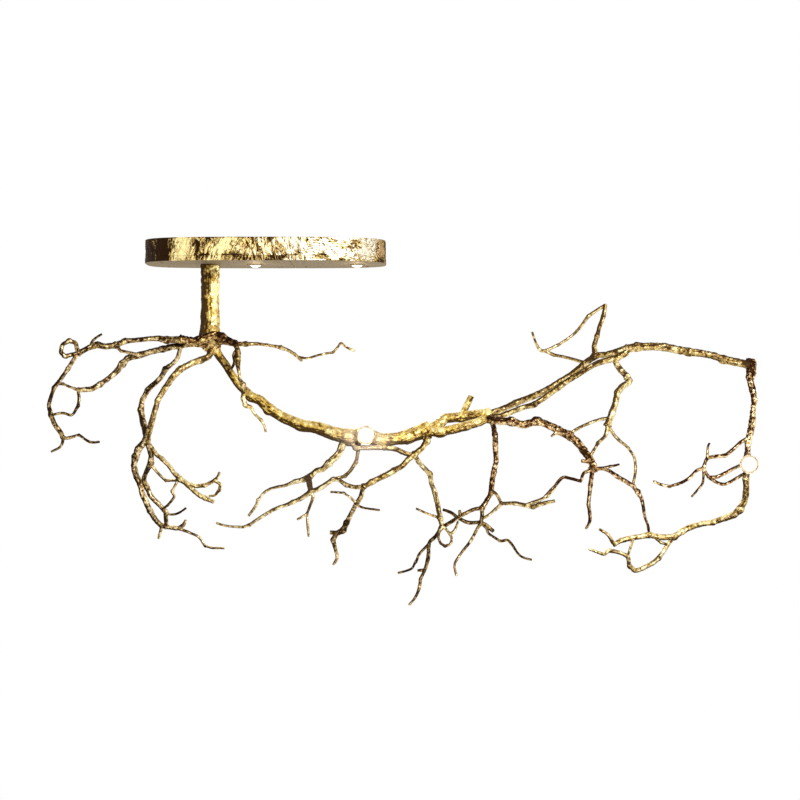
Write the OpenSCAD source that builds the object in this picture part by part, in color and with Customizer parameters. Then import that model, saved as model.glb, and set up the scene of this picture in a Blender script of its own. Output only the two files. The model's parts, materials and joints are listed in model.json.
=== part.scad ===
// Branch chandelier: a ceiling canopy, a short stem and a spread of cast branches
// that are brazed together at coped joints. Millimetres, +Z up, the viewer at -Y.
// The origin is on the ceiling, at the middle of the canopy.

/* [Canopy] */
// Length of the canopy
canopy_l = 480; // [440:5:560]
// Depth of the canopy from front to back
canopy_w = 284; // [250:2:340]
// Height of the upper band
band_h = 36; // [34:1:50]
// Height of the lower trays
tray_h = 10; // [8:1:16]
// Wall of the band
band_wall = 3; // [2:0.5:5]
// Wall and floor of the trays
tray_wall = 2.5; // [1.5:0.5:4]
// Place of the seam between the trays
seam_x = 53; // [50:1:56]

/* [Ceiling plate] */
// Length of the steel plate
plate_l = 430; // [425:5:436]
// Width of the steel plate
plate_w = 176; // [170:2:190]
// Thickness of the steel plate
plate_t = 4; // [3:0.5:6]
// Spacing of the ceiling screws along the plate
ceiling_screw_x = 360; // [340:5:370]
// Spacing of the ceiling screws across the plate
ceiling_screw_y = 120; // [100:5:124]
// Hole for a ceiling screw
ceiling_hole_d = 6.5; // [5:0.5:8]
// Hole for the supply wires
wire_hole_d = 30; // [20:1:34]

/* [Stem] */
// Diameter of the load tube
tube_d = 18; // [16:0.5:22]
// Bore of the load tube
tube_bore = 13; // [10:0.5:14]
// Diameter of the cast sleeve
sleeve_d = 36; // [32:1:40]
// Length of the sleeve below the canopy
sleeve_l = 141; // [130:1:160]
// Depth of the tube in the crown
crown_socket = 20; // [14:1:22]

/* [Lamps] */
// Diameter of a branch lamp
lamp_d = 33; // [28:1:38]
// Depth of a lamp cup
cup_h = 12; // [10:1:16]
// Diameter of a lamp's plug
plug_d = 12; // [8:1:14]
// Length of a lamp's plug
plug_l = 5; // [4:0.5:6]
// Diameter of a canopy spot's body
spot_d = 26; // [22:1:30]

/* [Branches] */
// Thickness of every branch against the drawing
girth = 1; // [0.8:0.05:1.3]
// Depth of the spread against the drawing
spread = 1.5; // [1.1:0.05:1.8]
// Unevenness of the bark
gnarl = 0.1; // [0:0.02:0.16]

/* [Fits] */
// Clearance of a part in its seat
fit = 0.3; // [0.2:0.05:0.5]

/* [Hidden] */

$fn = 48;

// Colours
steel = "silver";
satin = [0.66, 0.63, 0.56];
gold = [0.78, 0.62, 0.26];
pale_gold = [0.86, 0.76, 0.45];
umber = [0.42, 0.28, 0.15];
copper = [0.55, 0.33, 0.18];
milk = [1, 0.96, 0.86];

// Heights, down from the ceiling
plate_z = -plate_t;
floor_z = -(band_h + tray_h);
foot_z = floor_z - sleeve_l;
tray_top_z = floor_z + tray_wall;

// Places on the canopy's middle line
stem_x = -112;
spot_left_x = -21;
spot_right_x = 182;
wire_x = 30;

// ---- Canopy outline -------------------------------------------------------------------
// A long rounded slab whose edge wanders a little, drawn in by inset. The wander is nil at
// both ends and equal at front and back, so that the named length and depth stay true.
edge_power = 3.4;
edge_step = 6;
edge_wander = 2.4;
function edge_root(v) = sign(v) * pow(abs(v), 2 / edge_power);
function wander(a) = edge_wander * sin(3 * a) * (1 + 0.6 * cos(2 * a + 40));
function edge(inset) = [for (a = [0:edge_step:360 - edge_step])
    [(canopy_l / 2 - inset + wander(a)) * edge_root(cos(a)),
     (canopy_w / 2 - inset + wander(a)) * edge_root(sin(a))]];

// ---- Branch drawing -------------------------------------------------------------------
// A station is [x, y, z, diameter] or [x, y, z, diameter, knot diameter]. x and z are read
// on a front elevation, y is the depth behind it, and drawing_foot is the height at which
// the stem's foot stands on it. A station off the plane of the drawing is slid along the
// line of sight of someone who stands in front, so that the elevation stays as drawn.
sight_d = 4800;
sight_x = 268;
sight_z = -326;
drawing_foot = -196;
drawing_z = foot_z - drawing_foot;
ring_pitch = 20;
function slide(s) = (sight_d + s[1] * spread) / sight_d;
function place(s) = let (k = slide(s))
    [sight_x + (s[0] - sight_x) * k, s[1] * spread, sight_z + (s[2] - sight_z) * k + drawing_z];
function width(s) = s[3] * girth * slide(s);

// A small knot swells its strand, and a large one stands out as a burl of its own
burl_d = 20;
function is_burl(s) = len(s) > 4 && s[4] >= burl_d;
function core(s) = [s[0], s[1], s[2], len(s) > 4 && !is_burl(s) ? s[4] : s[3]];
function flat(s) = [s[0], s[1], s[2]];
function blend(a, b, c, d, t) = (2 * b + (c - a) * t + (2 * a - 5 * b + 4 * c - d) * t * t
    + (3 * b - a - 3 * c + d) * t * t * t) / 2;
// Rings along a route: its stations, and even steps on a smooth curve between them
function rings(route) = let (s = [for (p = route) core(p)], last = len(s) - 1)
    concat([for (i = [0:last - 1])
        let (a = s[max(i - 1, 0)], b = s[i], c = s[i + 1], d = s[min(i + 2, last)],
             steps = max(1, round(norm(flat(c) - flat(b)) / ring_pitch)))
        for (j = [0:steps - 1]) blend(a, b, c, d, j / steps)], [s[last]]);
// Sides of a strand's rings, more on a thicker one
function ring_sides(route) = let (d = max([for (p = route) p[3]])) d < 7 ? 5 : d < 17 ? 6 : 7;

function unit(v) = v / norm(v);
// Points of one ring, square to the route, with the bark's unevenness
function ring(c, t, d, sides, seed) =
    let (u = unit(cross([0, 1, 0], t)), v = cross(t, u))
    [for (k = [0:sides - 1])
        let (a = 360 * k / sides, r = d / 2 * (1.04 + gnarl * sin(seed * 137 + k * 101)))
        c + r * (cos(a) * u + sin(a) * v)];

// One tapering strand: a tube of rings from the first station to the last
module strand(route) {
    s = rings(route);
    p = [for (q = s) place(q)];
    n = len(p);
    sides = ring_sides(route);
    points = [for (i = [0:n - 1])
        each ring(p[i], unit(p[min(i + 1, n - 1)] - p[max(i - 1, 0)]), width(s[i]), sides, i)];
    tube(points, n, sides);
}

// Skin and ends of a tube whose points run ring by ring
module tube(points, n, sides) {
    skin = [for (i = [0:n - 2], k = [0:sides - 1])
        let (a = i * sides + k, b = i * sides + (k + 1) % sides)
        each [[a, a + sides, b + sides], [a, b + sides, b]]];
    ends = [[for (k = [0:sides - 1]) k], [for (k = [sides - 1:-1:0]) (n - 1) * sides + k]];
    polyhedron(points, concat(skin, ends));
}

// A burl on a strand, longer to one side
burl_lean = 0.22;
burl_taper = 0.72;
module burl(s, seed) {
    d = s[4] * girth;
    lean = [cos(seed * 77), sin(seed * 131), sin(seed * 77)];
    hull() {
        translate(place(s)) sphere(d = d, $fn = 5);
        translate(place(s) + burl_lean * d * lean) sphere(d = burl_taper * d, $fn = 4);
    }
}

// All strands and burls of one casting, before it is coped
module wood(strands) for (r = strands) {
    strand(r);
    for (i = [0:len(r) - 1]) if (is_burl(r[i])) burl(r[i], i);
}

// Fuses what a casting is made of into one faceted skin, at its own size
module one_skin() resize([0, 0, 0]) children();

// A casting that is coped to sit on the castings that carry it
module casting(strands, seats = []) one_skin() difference() {
    wood(strands);
    children();
    for (s = seats) wood(s);
}

// ---- Routes -----------------------------------------------------------------------------
crown_r = [
    [[-172, -22, -204, 15, 18], [-146, -26, -208, 15], [-128, -28, -204, 14, 18], [-106, -30, -196, 15],
     [-88, -28, -200, 14, 18], [-70, -22, -210, 12], [-60, -18, -214, 12, 15]],
    [[-112, 0, -194, 40], [-111, 0, -206, 42, 50], [-107, 0, -220, 32, 36], [-102, 0, -234, 20, 22]],
    [[-112, -8, -206, 20], [-140, -14, -212, 17], [-160, -18, -208, 14, 18]],
    [[-104, -8, -206, 22, 26], [-84, -16, -206, 16, 20], [-66, -18, -212, 12]]
];
main_limb_r = [
    [[-106, 0, -214, 18], [-96, -2, -234, 16], [-78, -6, -260, 15], [-56, -10, -292, 15],
     [-30, -14, -320, 18, 21], [-12, -16, -327, 19], [6, -18, -344, 20, 25], [36, -22, -362, 21],
     [70, -26, -377, 22, 25], [104, -28, -382, 24], [136, -30, -393, 27], [168, -30, -401, 31, 36],
     [200, -30, -397, 30], [228, -30, -407, 27, 30], [258, -28, -404, 24], [282, -24, -400, 26, 29],
     [304, -20, -392, 29], [326, -16, -386, 30, 36]]
];
under_strand_r = [
    [[168, -32, -406, 12], [180, -40, -422, 9, 12], [206, -42, -421, 9], [236, -42, -421, 9, 12],
     [258, -40, -424, 9], [280, -36, -433, 9], [298, -34, -436, 8]]
];
twin_fork_r = [
    [[328, -10, -384, 20], [346, -2, -374, 18, 22], [360, 2, -363, 18], [390, 4, -360, 18, 21],
     [430, 0, -353, 17], [444, 0, -357, 16, 27]],
    [[328, -18, -388, 19], [348, -24, -391, 17, 21], [368, -24, -386, 17], [400, -20, -378, 17, 20],
     [430, -10, -368, 17], [444, 0, -358, 16]],
    [[394, 4, -352, 8], [403, 4, -334, 7, 9], [410, 6, -321, 4]]
];
middle_limb_r = [
    [[444, 2, -354, 14], [468, 8, -346, 12], [500, 10, -332, 12, 15], [550, 8, -312, 12, 15],
     [602, 8, -282, 12, 15], [642, 6, -250, 12], [658, 4, -238, 12, 18], [688, 2, -234, 13],
     [724, 0, -223, 15, 19]],
    [[446, -6, -360, 11], [468, -10, -359, 10, 13], [510, -8, -342, 10], [538, -8, -334, 10, 13],
     [560, -6, -324, 10], [612, -6, -288, 10, 13], [652, -5, -260, 10], [674, -5, -249, 11],
     [700, -3, -243, 12, 15], [722, -2, -230, 13]],
    [[518, -8, -340, 8], [540, -13, -338, 5]]
];
end_limb_r = [
    [[724, 0, -223, 15], [742, 0, -220, 16, 20], [770, 4, -219, 15], [798, 8, -220, 15, 18],
     [824, 12, -226, 15], [846, 16, -230, 15, 18], [870, 20, -233, 14], [896, 24, -238, 14],
     [914, 26, -245, 14, 19], [932, 28, -249, 15], [952, 28, -253, 16], [968, 26, -257, 16, 21]]
];
end_drop_r = [
    [[968, 26, -257, 13], [967, 22, -280, 13, 16], [973, 16, -308, 12], [977, 10, -326, 10, 13],
     [974, 4, -350, 11], [972, 0, -375, 12, 15], [968, -4, -392, 12], [964, -8, -410, 11, 14],
     [963, -12, -428, 11], [962, -14, -442, 14], [962, -14, -454, 20, 26]]
];
end_arch_r = [
    [[962, -14, -456, 14], [960, -12, -484, 12, 15], [960, -10, -506, 12], [957, -8, -528, 12],
     [948, -6, -545, 13, 17], [936, -4, -556, 13], [918, 0, -562, 12], [894, 4, -571, 10, 13],
     [870, 8, -574, 10], [846, 8, -582, 11], [832, 6, -589, 11, 14], [816, 2, -600, 12, 15],
     [790, -6, -600, 11], [766, -14, -596, 11, 14], [744, -18, -600, 10], [716, -22, -605, 10],
     [694, -26, -615, 8, 12]],
    [[694, -26, -613, 7], [684, -28, -596, 6], [666, -30, -584, 3.5]]
];
end_loop_r = [
    [[812, 1, -603, 8], [798, 0, -624, 8], [786, -4, -642, 9, 12], [772, -8, -653, 9],
     [754, -12, -662, 9], [738, -16, -667, 8], [727, -18, -658, 8, 11], [722, -20, -638, 8],
     [702, -24, -630, 7], [686, -28, -627, 8, 10], [674, -30, -634, 6], [646, -34, -624, 3]],
    [[734, -20, -603, 6], [730, -20, -618, 5], [724, -20, -636, 5]],
    [[776, -11, -599, 6], [790, -6, -611, 5, 7], [804, 0, -616, 5]]
];
end_lamp_twig_r = [
    [[966, -6, -402, 8], [950, -12, -410, 7], [936, -16, -423, 7], [918, -20, -437, 7, 9],
     [894, -24, -440, 7], [882, -26, -443, 7], [875, -28, -462, 7, 10]],
    [[882, -26, -443, 5], [884, -24, -420, 4], [888, -24, -412, 3]],
    [[875, -28, -462, 6], [860, -32, -468, 6], [846, -36, -482, 6], [830, -40, -492, 6],
     [808, -44, -499, 5, 7], [790, -46, -495, 5], [774, -48, -488, 3]],
    [[875, -28, -462, 6], [875, -26, -478, 5], [873, -24, -493, 5], [863, -22, -506, 4],
     [851, -20, -520, 2.5]],
    [[875, -28, -464, 6], [886, -24, -481, 6, 8], [902, -22, -480, 7], [920, -20, -471, 7],
     [938, -17, -461, 6], [956, -14, -455, 6]],
    [[886, -24, -481, 6], [904, -28, -492, 6], [920, -28, -494, 6], [938, -24, -484, 6],
     [958, -15, -472, 5]]
];
top_twig_r = [
    [[658, 4, -236, 11], [656, 6, -218, 9], [662, 8, -198, 8, 11], [668, 10, -178, 8],
     [675, 12, -157, 8, 11], [679, 14, -132, 3]],
    [[675, 12, -155, 6], [660, 16, -148, 6], [645, 18, -158, 7, 9], [632, 20, -176, 6],
     [615, 22, -195, 5], [584, 22, -216, 5, 7], [553, 20, -228, 6], [540, 20, -212, 4],
     [532, 20, -190, 2.5]],
    [[556, 20, -227, 6], [576, 18, -236, 6, 8], [602, 15, -241, 6], [622, 11, -247, 6],
     [640, 6, -252, 6]]
];
inner_arch_r = [
    [[693, -2, -240, 8], [710, -8, -266, 12], [718, -14, -280, 13, 17], [712, -20, -297, 12],
     [703, -26, -310, 12, 15], [699, -32, -332, 11], [692, -38, -352, 12, 15], [683, -42, -378, 12, 17]],
    [[718, -15, -281, 10], [732, -18, -290, 5]],
    [[683, -42, -378, 8], [679, -44, -396, 7], [664, -46, -412, 6, 8], [646, -52, -441, 6]],
    [[684, -42, -378, 6], [700, -40, -400, 6], [724, -38, -422, 5, 7], [737, -37, -442, 5],
     [739, -36, -470, 5], [734, -38, -497, 5]],
    [[688, -39, -362, 6], [657, -38, -368, 6], [624, -38, -383, 6], [606, -40, -395, 6]]
];
copper_branch_r = [
    [[446, -8, -363, 12], [466, -24, -368, 14], [490, -30, -369, 15, 19], [516, -28, -375, 14],
     [542, -30, -368, 14, 18], [562, -32, -375, 15], [584, -36, -386, 15, 18], [606, -40, -396, 16, 20],
     [622, -44, -410, 14], [635, -48, -427, 14, 17], [646, -52, -442, 13], [654, -56, -458, 14],
     [653, -58, -466, 13, 20]],
    [[649, -54, -450, 8], [630, -56, -448, 5]]
];
copper_right_twig_r = [
    [[653, -58, -466, 8], [672, -54, -463, 7], [687, -50, -468, 7], [702, -46, -479, 8, 10],
     [734, -38, -498, 8, 10], [744, -34, -510, 9, 12], [752, -30, -526, 7], [758, -26, -560, 5],
     [764, -18, -578, 5], [766, -14, -594, 5]],
    [[668, -55, -463, 5], [688, -58, -459, 5, 7], [707, -62, -455, 3]]
];
copper_left_twigs_r = [
    [[653, -58, -466, 8], [649, -56, -496, 8, 10], [645, -52, -534, 7, 9], [648, -50, -566, 6],
     [640, -48, -584, 2.5]],
    [[653, -58, -466, 7], [636, -64, -472, 6], [629, -66, -488, 6, 8], [606, -70, -482, 6],
     [592, -72, -482, 6], [576, -74, -500, 6], [557, -76, -520, 3]]
];
long_drop_r = [
    [[446, 0, -358, 12], [454, 6, -376, 10], [458, 12, -396, 10, 13], [459, 18, -420, 10],
     [460, 24, -446, 10], [456, 26, -470, 10, 13], [452, 26, -490, 10], [450, 24, -512, 9, 12],
     [442, 22, -526, 9], [432, 20, -542, 9, 15]]
];
long_drop_left_r = [
    [[432, 20, -542, 8], [414, 18, -545, 7], [392, 14, -556, 7, 9], [370, 8, -570, 7],
     [350, 2, -582, 8, 11], [338, -2, -600, 7], [327, -4, -612, 7], [324, -6, -644, 7, 9],
     [318, -8, -664, 6], [309, -8, -684, 6, 8], [306, -10, -704, 6], [298, -12, -722, 5],
     [286, -14, -736, 2.5]],
    [[327, -5, -613, 5], [308, 0, -632, 5], [300, 2, -650, 5, 7], [290, 4, -664, 4],
     [264, 6, -672, 2.5]]
];
long_drop_tail_r = [
    [[432, 20, -542, 8], [432, 22, -558, 7], [430, 22, -572, 7, 10], [422, 22, -584, 6],
     [411, 20, -605, 6], [396, 16, -625, 5, 7], [383, 12, -643, 5], [377, 10, -656, 4],
     [381, 8, -678, 2.5]],
    [[430, 22, -572, 6], [440, 26, -580, 5], [446, 30, -594, 5], [468, 36, -608, 5, 7],
     [486, 40, -608, 5], [508, 44, -637, 4], [532, 48, -646, 2.5]],
    [[430, 22, -570, 4], [406, 26, -570, 4], [384, 30, -561, 4, 6], [353, 34, -547, 2.5]]
];
long_drop_right_r = [
    [[450, 24, -506, 6], [462, 18, -516, 6], [471, 14, -533, 6, 9], [498, 10, -533, 8],
     [534, 6, -540, 8, 11], [552, 2, -534, 8], [578, -2, -528, 5]],
    [[471, 14, -533, 6], [460, 16, -544, 6, 8], [446, 20, -556, 6], [431, 22, -564, 5]],
    [[518, 8, -536, 6], [545, 2, -527, 6], [562, -2, -519, 6, 8], [572, -4, -508, 6],
     [585, -6, -488, 3]]
];
curl_drop_r = [
    [[298, -34, -434, 8], [304, -30, -448, 9], [316, -24, -462, 9], [328, -18, -474, 9, 12],
     [331, -14, -492, 9], [338, -12, -512, 9, 12], [343, -14, -534, 9], [348, -20, -562, 9, 12],
     [352, -26, -580, 8]],
    [[346, -18, -562, 5], [325, -22, -554, 4], [300, -24, -543, 2.5]],
    [[352, -26, -578, 6], [345, -30, -598, 5], [349, -32, -612, 5], [358, -34, -619, 5, 7],
     [368, -34, -614, 5], [371, -32, -602, 5], [365, -30, -590, 5], [354, -26, -578, 5]],
    [[368, -31, -594, 5], [378, -30, -586, 5], [384, -28, -568, 2.5]]
];
near_drop_r = [
    [[316, -18, -390, 14], [322, -24, -408, 12, 15], [312, -30, -422, 11], [298, -34, -434, 11, 15],
     [284, -38, -445, 11], [272, -44, -458, 10], [256, -50, -467, 11, 14], [236, -56, -478, 11],
     [212, -64, -490, 10, 13], [194, -70, -500, 10, 16]]
];
near_drop_tail_r = [
    [[194, -70, -500, 8], [189, -68, -520, 9], [181, -64, -534, 9, 12], [172, -58, -550, 9],
     [161, -52, -571, 10, 13], [154, -48, -586, 11, 14], [141, -46, -594, 10], [134, -44, -606, 9, 11],
     [139, -42, -626, 7], [142, -40, -642, 6], [134, -38, -656, 3]],
    [[181, -64, -533, 5], [168, -70, -521, 4], [156, -74, -512, 4, 6], [129, -78, -510, 2.5]],
    [[180, -63, -536, 5], [196, -66, -542, 4], [228, -72, -546, 2.5]],
    [[146, -47, -592, 9], [128, -47, -591, 7]]
];
near_drop_left_r = [
    [[194, -70, -500, 8], [176, -70, -500, 8], [160, -68, -496, 8, 10], [146, -66, -486, 8],
     [134, -64, -484, 8, 11], [118, -62, -496, 9], [102, -60, -505, 9], [90, -58, -509, 10, 13],
     [72, -54, -522, 9], [54, -50, -530, 8, 10], [38, -46, -537, 7], [14, -40, -546, 7],
     [-20, -32, -567, 6], [-34, -28, -576, 6, 8], [-50, -24, -580, 5], [-78, -20, -578, 4],
     [-100, -18, -572, 2.5]],
    [[90, -58, -509, 6], [94, -60, -520, 6], [88, -62, -538, 5], [82, -64, -554, 5, 7],
     [83, -64, -572, 5], [86, -64, -600, 2.5]],
    [[82, -64, -554, 4], [62, -68, -565, 2.5]]
];
slant_drop_r = [
    [[158, -30, -402, 15], [146, -32, -432, 13], [126, -32, -452, 13, 16], [113, -30, -464, 11],
     [102, -28, -467, 10], [88, -26, -479, 11, 14], [76, -24, -485, 11], [58, -20, -489, 8, 10],
     [38, -16, -497, 6], [14, -10, -502, 5], [-4, -6, -511, 5], [-16, -2, -526, 5, 8],
     [-20, 2, -538, 6], [-35, 6, -558, 2.5]],
    [[88, -26, -480, 7], [89, -42, -495, 6], [90, -57, -508, 6]]
];
tie_twig_r = [
    [[188, -30, -402, 8], [184, -36, -430, 7], [180, -44, -450, 7, 9], [170, -52, -466, 7],
     [158, -58, -478, 7, 9], [136, -64, -484, 6]]
];
left_root_upper_r = [
    [[-170, -22, -204, 13], [-198, -26, -206, 13, 16], [-222, -34, -203, 10], [-256, -46, -206, 9],
     [-282, -56, -208, 10, 13], [-300, -62, -216, 12, 15], [-320, -68, -219, 11], [-338, -72, -215, 12, 14],
     [-356, -76, -222, 10], [-376, -80, -233, 10, 14]],
    [[-376, -80, -231, 8], [-381, -82, -213, 8], [-394, -84, -207, 8, 10], [-407, -86, -216, 8],
     [-410, -86, -230, 8], [-402, -84, -239, 8, 10], [-388, -82, -235, 8], [-376, -80, -233, 8]],
    [[-352, -75, -220, 6], [-345, -76, -206, 5], [-328, -78, -194, 2.5]]
];
left_root_far_r = [
    [[-378, -80, -234, 8], [-386, -80, -248, 8], [-396, -78, -264, 8, 10], [-412, -74, -286, 8],
     [-424, -70, -302, 8, 10], [-430, -66, -320, 7], [-434, -62, -338, 8], [-430, -58, -356, 9, 12],
     [-422, -54, -376, 9], [-411, -50, -391, 9], [-406, -48, -402, 8, 11]],
    [[-406, -48, -402, 6], [-410, -46, -418, 5], [-430, -44, -430, 2.5]],
    [[-406, -48, -402, 6], [-396, -46, -402, 6], [-374, -42, -396, 5, 7], [-352, -40, -410, 5],
     [-332, -38, -410, 2.5]]
];
left_root_lower_r = [
    [[-134, -12, -212, 12], [-182, -6, -219, 12], [-207, -4, -224, 12, 15], [-232, -2, -230, 11],
     [-254, 0, -236, 12, 14], [-276, 2, -242, 12], [-287, 4, -254, 13, 16], [-298, 2, -268, 11],
     [-314, -4, -282, 10], [-332, -12, -295, 10, 13], [-350, -20, -304, 10], [-376, -32, -306, 9, 12]],
    [[-376, -32, -306, 6], [-392, -44, -300, 5], [-406, -58, -294, 5, 7], [-418, -71, -294, 5]],
    [[-376, -32, -306, 6], [-374, -36, -322, 6], [-376, -42, -338, 6, 8], [-388, -50, -356, 5],
     [-406, -54, -352, 5], [-429, -58, -355, 5]],
    [[-256, 0, -235, 6], [-274, -22, -231, 6], [-290, -46, -228, 6, 8], [-300, -61, -217, 6]]
];
left_root_outer_r = [
    [[-170, -8, -217, 8], [-178, 0, -244, 8], [-201, 14, -264, 10, 13], [-212, 24, -283, 10],
     [-237, 34, -306, 10, 12], [-247, 38, -326, 10], [-250, 36, -346, 11, 14], [-247, 28, -366, 12],
     [-242, 14, -386, 12], [-240, -4, -405, 10]]
];
left_root_inner_r = [
    [[-108, -2, -222, 14], [-114, -18, -238, 12], [-130, -26, -246, 12, 15], [-152, -34, -254, 12],
     [-172, -40, -265, 12, 15], [-187, -44, -281, 12], [-202, -46, -302, 11], [-216, -46, -326, 10, 13],
     [-223, -42, -350, 10], [-229, -34, -370, 11], [-234, -22, -388, 12, 14], [-239, -8, -407, 12, 19]]
];
left_cluster_outer_r = [
    [[-240, -7, -408, 13], [-254, -2, -422, 14], [-262, 4, -440, 13, 16], [-264, 8, -459, 11],
     [-259, 10, -478, 12], [-250, 10, -496, 12, 14], [-248, 8, -512, 11], [-240, 6, -530, 11],
     [-232, 2, -548, 10, 13], [-222, -2, -564, 10], [-210, -6, -576, 10], [-198, -8, -580, 9, 12]],
    [[-208, -6, -578, 6], [-215, -6, -604, 2.5]],
    [[-198, -8, -580, 8], [-176, -12, -583, 8], [-165, -14, -576, 7, 9], [-160, -16, -566, 4]],
    [[-176, -12, -583, 6], [-150, -14, -592, 5], [-134, -16, -600, 5], [-122, -18, -618, 4, 6],
     [-106, -20, -622, 4], [-83, -22, -622, 2.5]]
];
left_cluster_middle_r = [
    [[-238, -10, -410, 9], [-231, -16, -434, 10], [-230, -20, -452, 12, 14], [-238, -22, -468, 9],
     [-244, -24, -484, 9], [-238, -26, -502, 10, 12], [-229, -26, -520, 9], [-209, -24, -540, 9],
     [-200, -20, -550, 9, 11], [-200, -14, -564, 8], [-199, -9, -578, 8]],
    [[-200, -19, -554, 4], [-180, -22, -554, 4], [-160, -26, -542, 2.5]]
];
left_cluster_right_r = [
    [[-236, -10, -410, 6], [-220, -22, -434, 8], [-208, -28, -444, 8, 10], [-194, -34, -458, 8],
     [-184, -38, -472, 9], [-172, -42, -484, 10, 13], [-158, -46, -494, 10], [-150, -48, -502, 9],
     [-134, -52, -516, 9], [-122, -54, -522, 9, 11], [-104, -56, -530, 7]],
    [[-158, -46, -493, 8], [-140, -50, -498, 8], [-122, -54, -496, 8, 10], [-104, -58, -487, 7],
     [-97, -60, -481, 6], [-93, -62, -470, 2.5]],
    [[-104, -58, -487, 6], [-92, -60, -494, 6], [-93, -62, -506, 6, 8], [-102, -62, -516, 5],
     [-114, -62, -518, 2.5]],
    [[-230, -20, -455, 6], [-212, -26, -476, 5], [-200, -32, -487, 5, 7], [-176, -41, -487, 5]],
    [[-176, -41, -487, 5], [-188, -38, -508, 5, 7], [-184, -36, -520, 5], [-196, -30, -536, 5],
     [-206, -24, -543, 5]]
];
right_root_r = [
    [[-62, -18, -214, 10], [-40, -16, -214, 8, 12], [-18, -12, -214, 7], [2, -8, -216, 5, 8],
     [30, -2, -221, 7, 10], [44, 2, -226, 6], [58, 6, -235, 6, 8], [72, 10, -248, 3]],
    [[62, 7, -239, 4], [84, 12, -242, 4], [104, 16, -236, 4], [134, 20, -231, 4, 7],
     [144, 22, -220, 4], [150, 24, -212, 4], [160, 26, -220, 3], [178, 28, -228, 2.5]],
    [[-62, -19, -214, 9], [-56, -26, -228, 10], [-56, -30, -244, 10, 13], [-56, -32, -258, 9],
     [-54, -34, -272, 6], [-53, -34, -284, 6], [-46, -34, -295, 9, 12], [-44, -34, -308, 8],
     [-46, -34, -322, 9], [-41, -34, -336, 8, 11], [-30, -34, -341, 7], [-24, -34, -352, 5],
     [-10, -34, -366, 5, 7], [-3, -34, -378, 4], [0, -34, -390, 2.5]],
    [[-57, -24, -224, 6], [-64, -24, -236, 7], [-63, -24, -248, 6], [-66, -24, -258, 5],
     [-74, -22, -268, 2.5]]
];

// ---- Lamp places --------------------------------------------------------------------------
// Each lamp faces the viewer, in a cup on a flat boss in front of its branch
boss_reach = 20;
cup_back_d = lamp_d - 4;
near_lamp_s = [200, -30, -396, 30];
end_lamp_s = [962, -14, -454, 20];
function boss_face(s) = place(s) - [0, boss_reach, 0];

// Stands a turned part on a lamp's boss, its axis towards the viewer
module on_boss(s) translate(boss_face(s)) rotate([90, 0, 0]) children();

// The boss itself, drawn out of the branch to a flat round face
module boss(s) {
    hull() {
        translate(place(s)) sphere(d = width(s), $fn = 8);
        translate(boss_face(s)) rotate([-90, 0, 0]) cylinder(d = cup_back_d - 2, h = 2, $fn = 16);
    }
}

// ---- Branch castings ------------------------------------------------------------------------
// Stem tube's seat in the crown, with the crown's top cut level under the sleeve
module crown_cut() {
    translate([stem_x, 0, foot_z - crown_socket]) cylinder(d = tube_d + 2 * fit, h = 60);
    translate([stem_x, 0, foot_z]) cylinder(d = 3 * sleeve_d, h = 60);
}
module crown() color(umber) one_skin() difference() {
    wood(crown_r);
    crown_cut();
    crown_screw_hole();
}
module main_limb_wood() { wood(main_limb_r); boss(near_lamp_s); }
module end_drop_wood() { wood(end_drop_r); boss(end_lamp_s); }
module main_limb() color(gold) one_skin() difference() {
    main_limb_wood();
    wood(crown_r);
}
module under_strand() color(gold) casting(under_strand_r, [near_drop_r]) main_limb_wood();
module twin_fork() color(gold) casting(twin_fork_r) main_limb_wood();
module middle_limb() color(copper) casting(middle_limb_r, [twin_fork_r]);
module end_limb() color(copper) casting(end_limb_r, [middle_limb_r]);
module end_drop() color(copper) one_skin() difference() {
    end_drop_wood();
    wood(end_limb_r);
}
module end_arch() color(copper) casting(end_arch_r) end_drop_wood();
module end_loop() color(copper) casting(end_loop_r, [end_arch_r]);
module end_lamp_twig() color(copper) casting(end_lamp_twig_r, [end_arch_r]) end_drop_wood();
module top_twig() color(copper) casting(top_twig_r, [middle_limb_r]);
module inner_arch() color(copper)
    casting(inner_arch_r, [middle_limb_r, copper_branch_r, copper_right_twig_r]);
module copper_branch() color(copper) casting(copper_branch_r, [twin_fork_r, middle_limb_r]);
module copper_right_twig() color(copper)
    casting(copper_right_twig_r, [copper_branch_r, end_arch_r]);
module copper_left_twigs() color(copper)
    casting(copper_left_twigs_r, [copper_branch_r, copper_right_twig_r]);
module long_drop() color(copper)
    casting(long_drop_r, [twin_fork_r, middle_limb_r, copper_branch_r]);
module long_drop_left() color(gold) casting(long_drop_left_r, [long_drop_r]);
module long_drop_tail() color(pale_gold) casting(long_drop_tail_r, [long_drop_r, long_drop_left_r]);
module long_drop_right() color(copper) casting(long_drop_right_r, [long_drop_r, long_drop_tail_r]);
module near_drop() color(gold) casting(near_drop_r) { main_limb_wood(); wood(twin_fork_r); }
module near_drop_tail() color(umber) casting(near_drop_tail_r, [near_drop_r]);
module near_drop_left() color(gold) casting(near_drop_left_r, [near_drop_r, near_drop_tail_r]);
module curl_drop() color(gold) casting(curl_drop_r, [near_drop_r, under_strand_r]);
module slant_drop() color(gold) casting(slant_drop_r, [near_drop_left_r]) main_limb_wood();
module tie_twig() color(gold) casting(tie_twig_r, [near_drop_left_r, under_strand_r]) main_limb_wood();
module left_root_upper() color(umber) casting(left_root_upper_r) wood(crown_r);
module left_root_far() color(umber) casting(left_root_far_r, [left_root_upper_r]);
module left_root_lower() color(umber)
    casting(left_root_lower_r, [left_root_upper_r, left_root_far_r]) wood(crown_r);
module left_root_inner() color(gold) casting(left_root_inner_r) {
    wood(crown_r);
    main_limb_wood();
}
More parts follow.
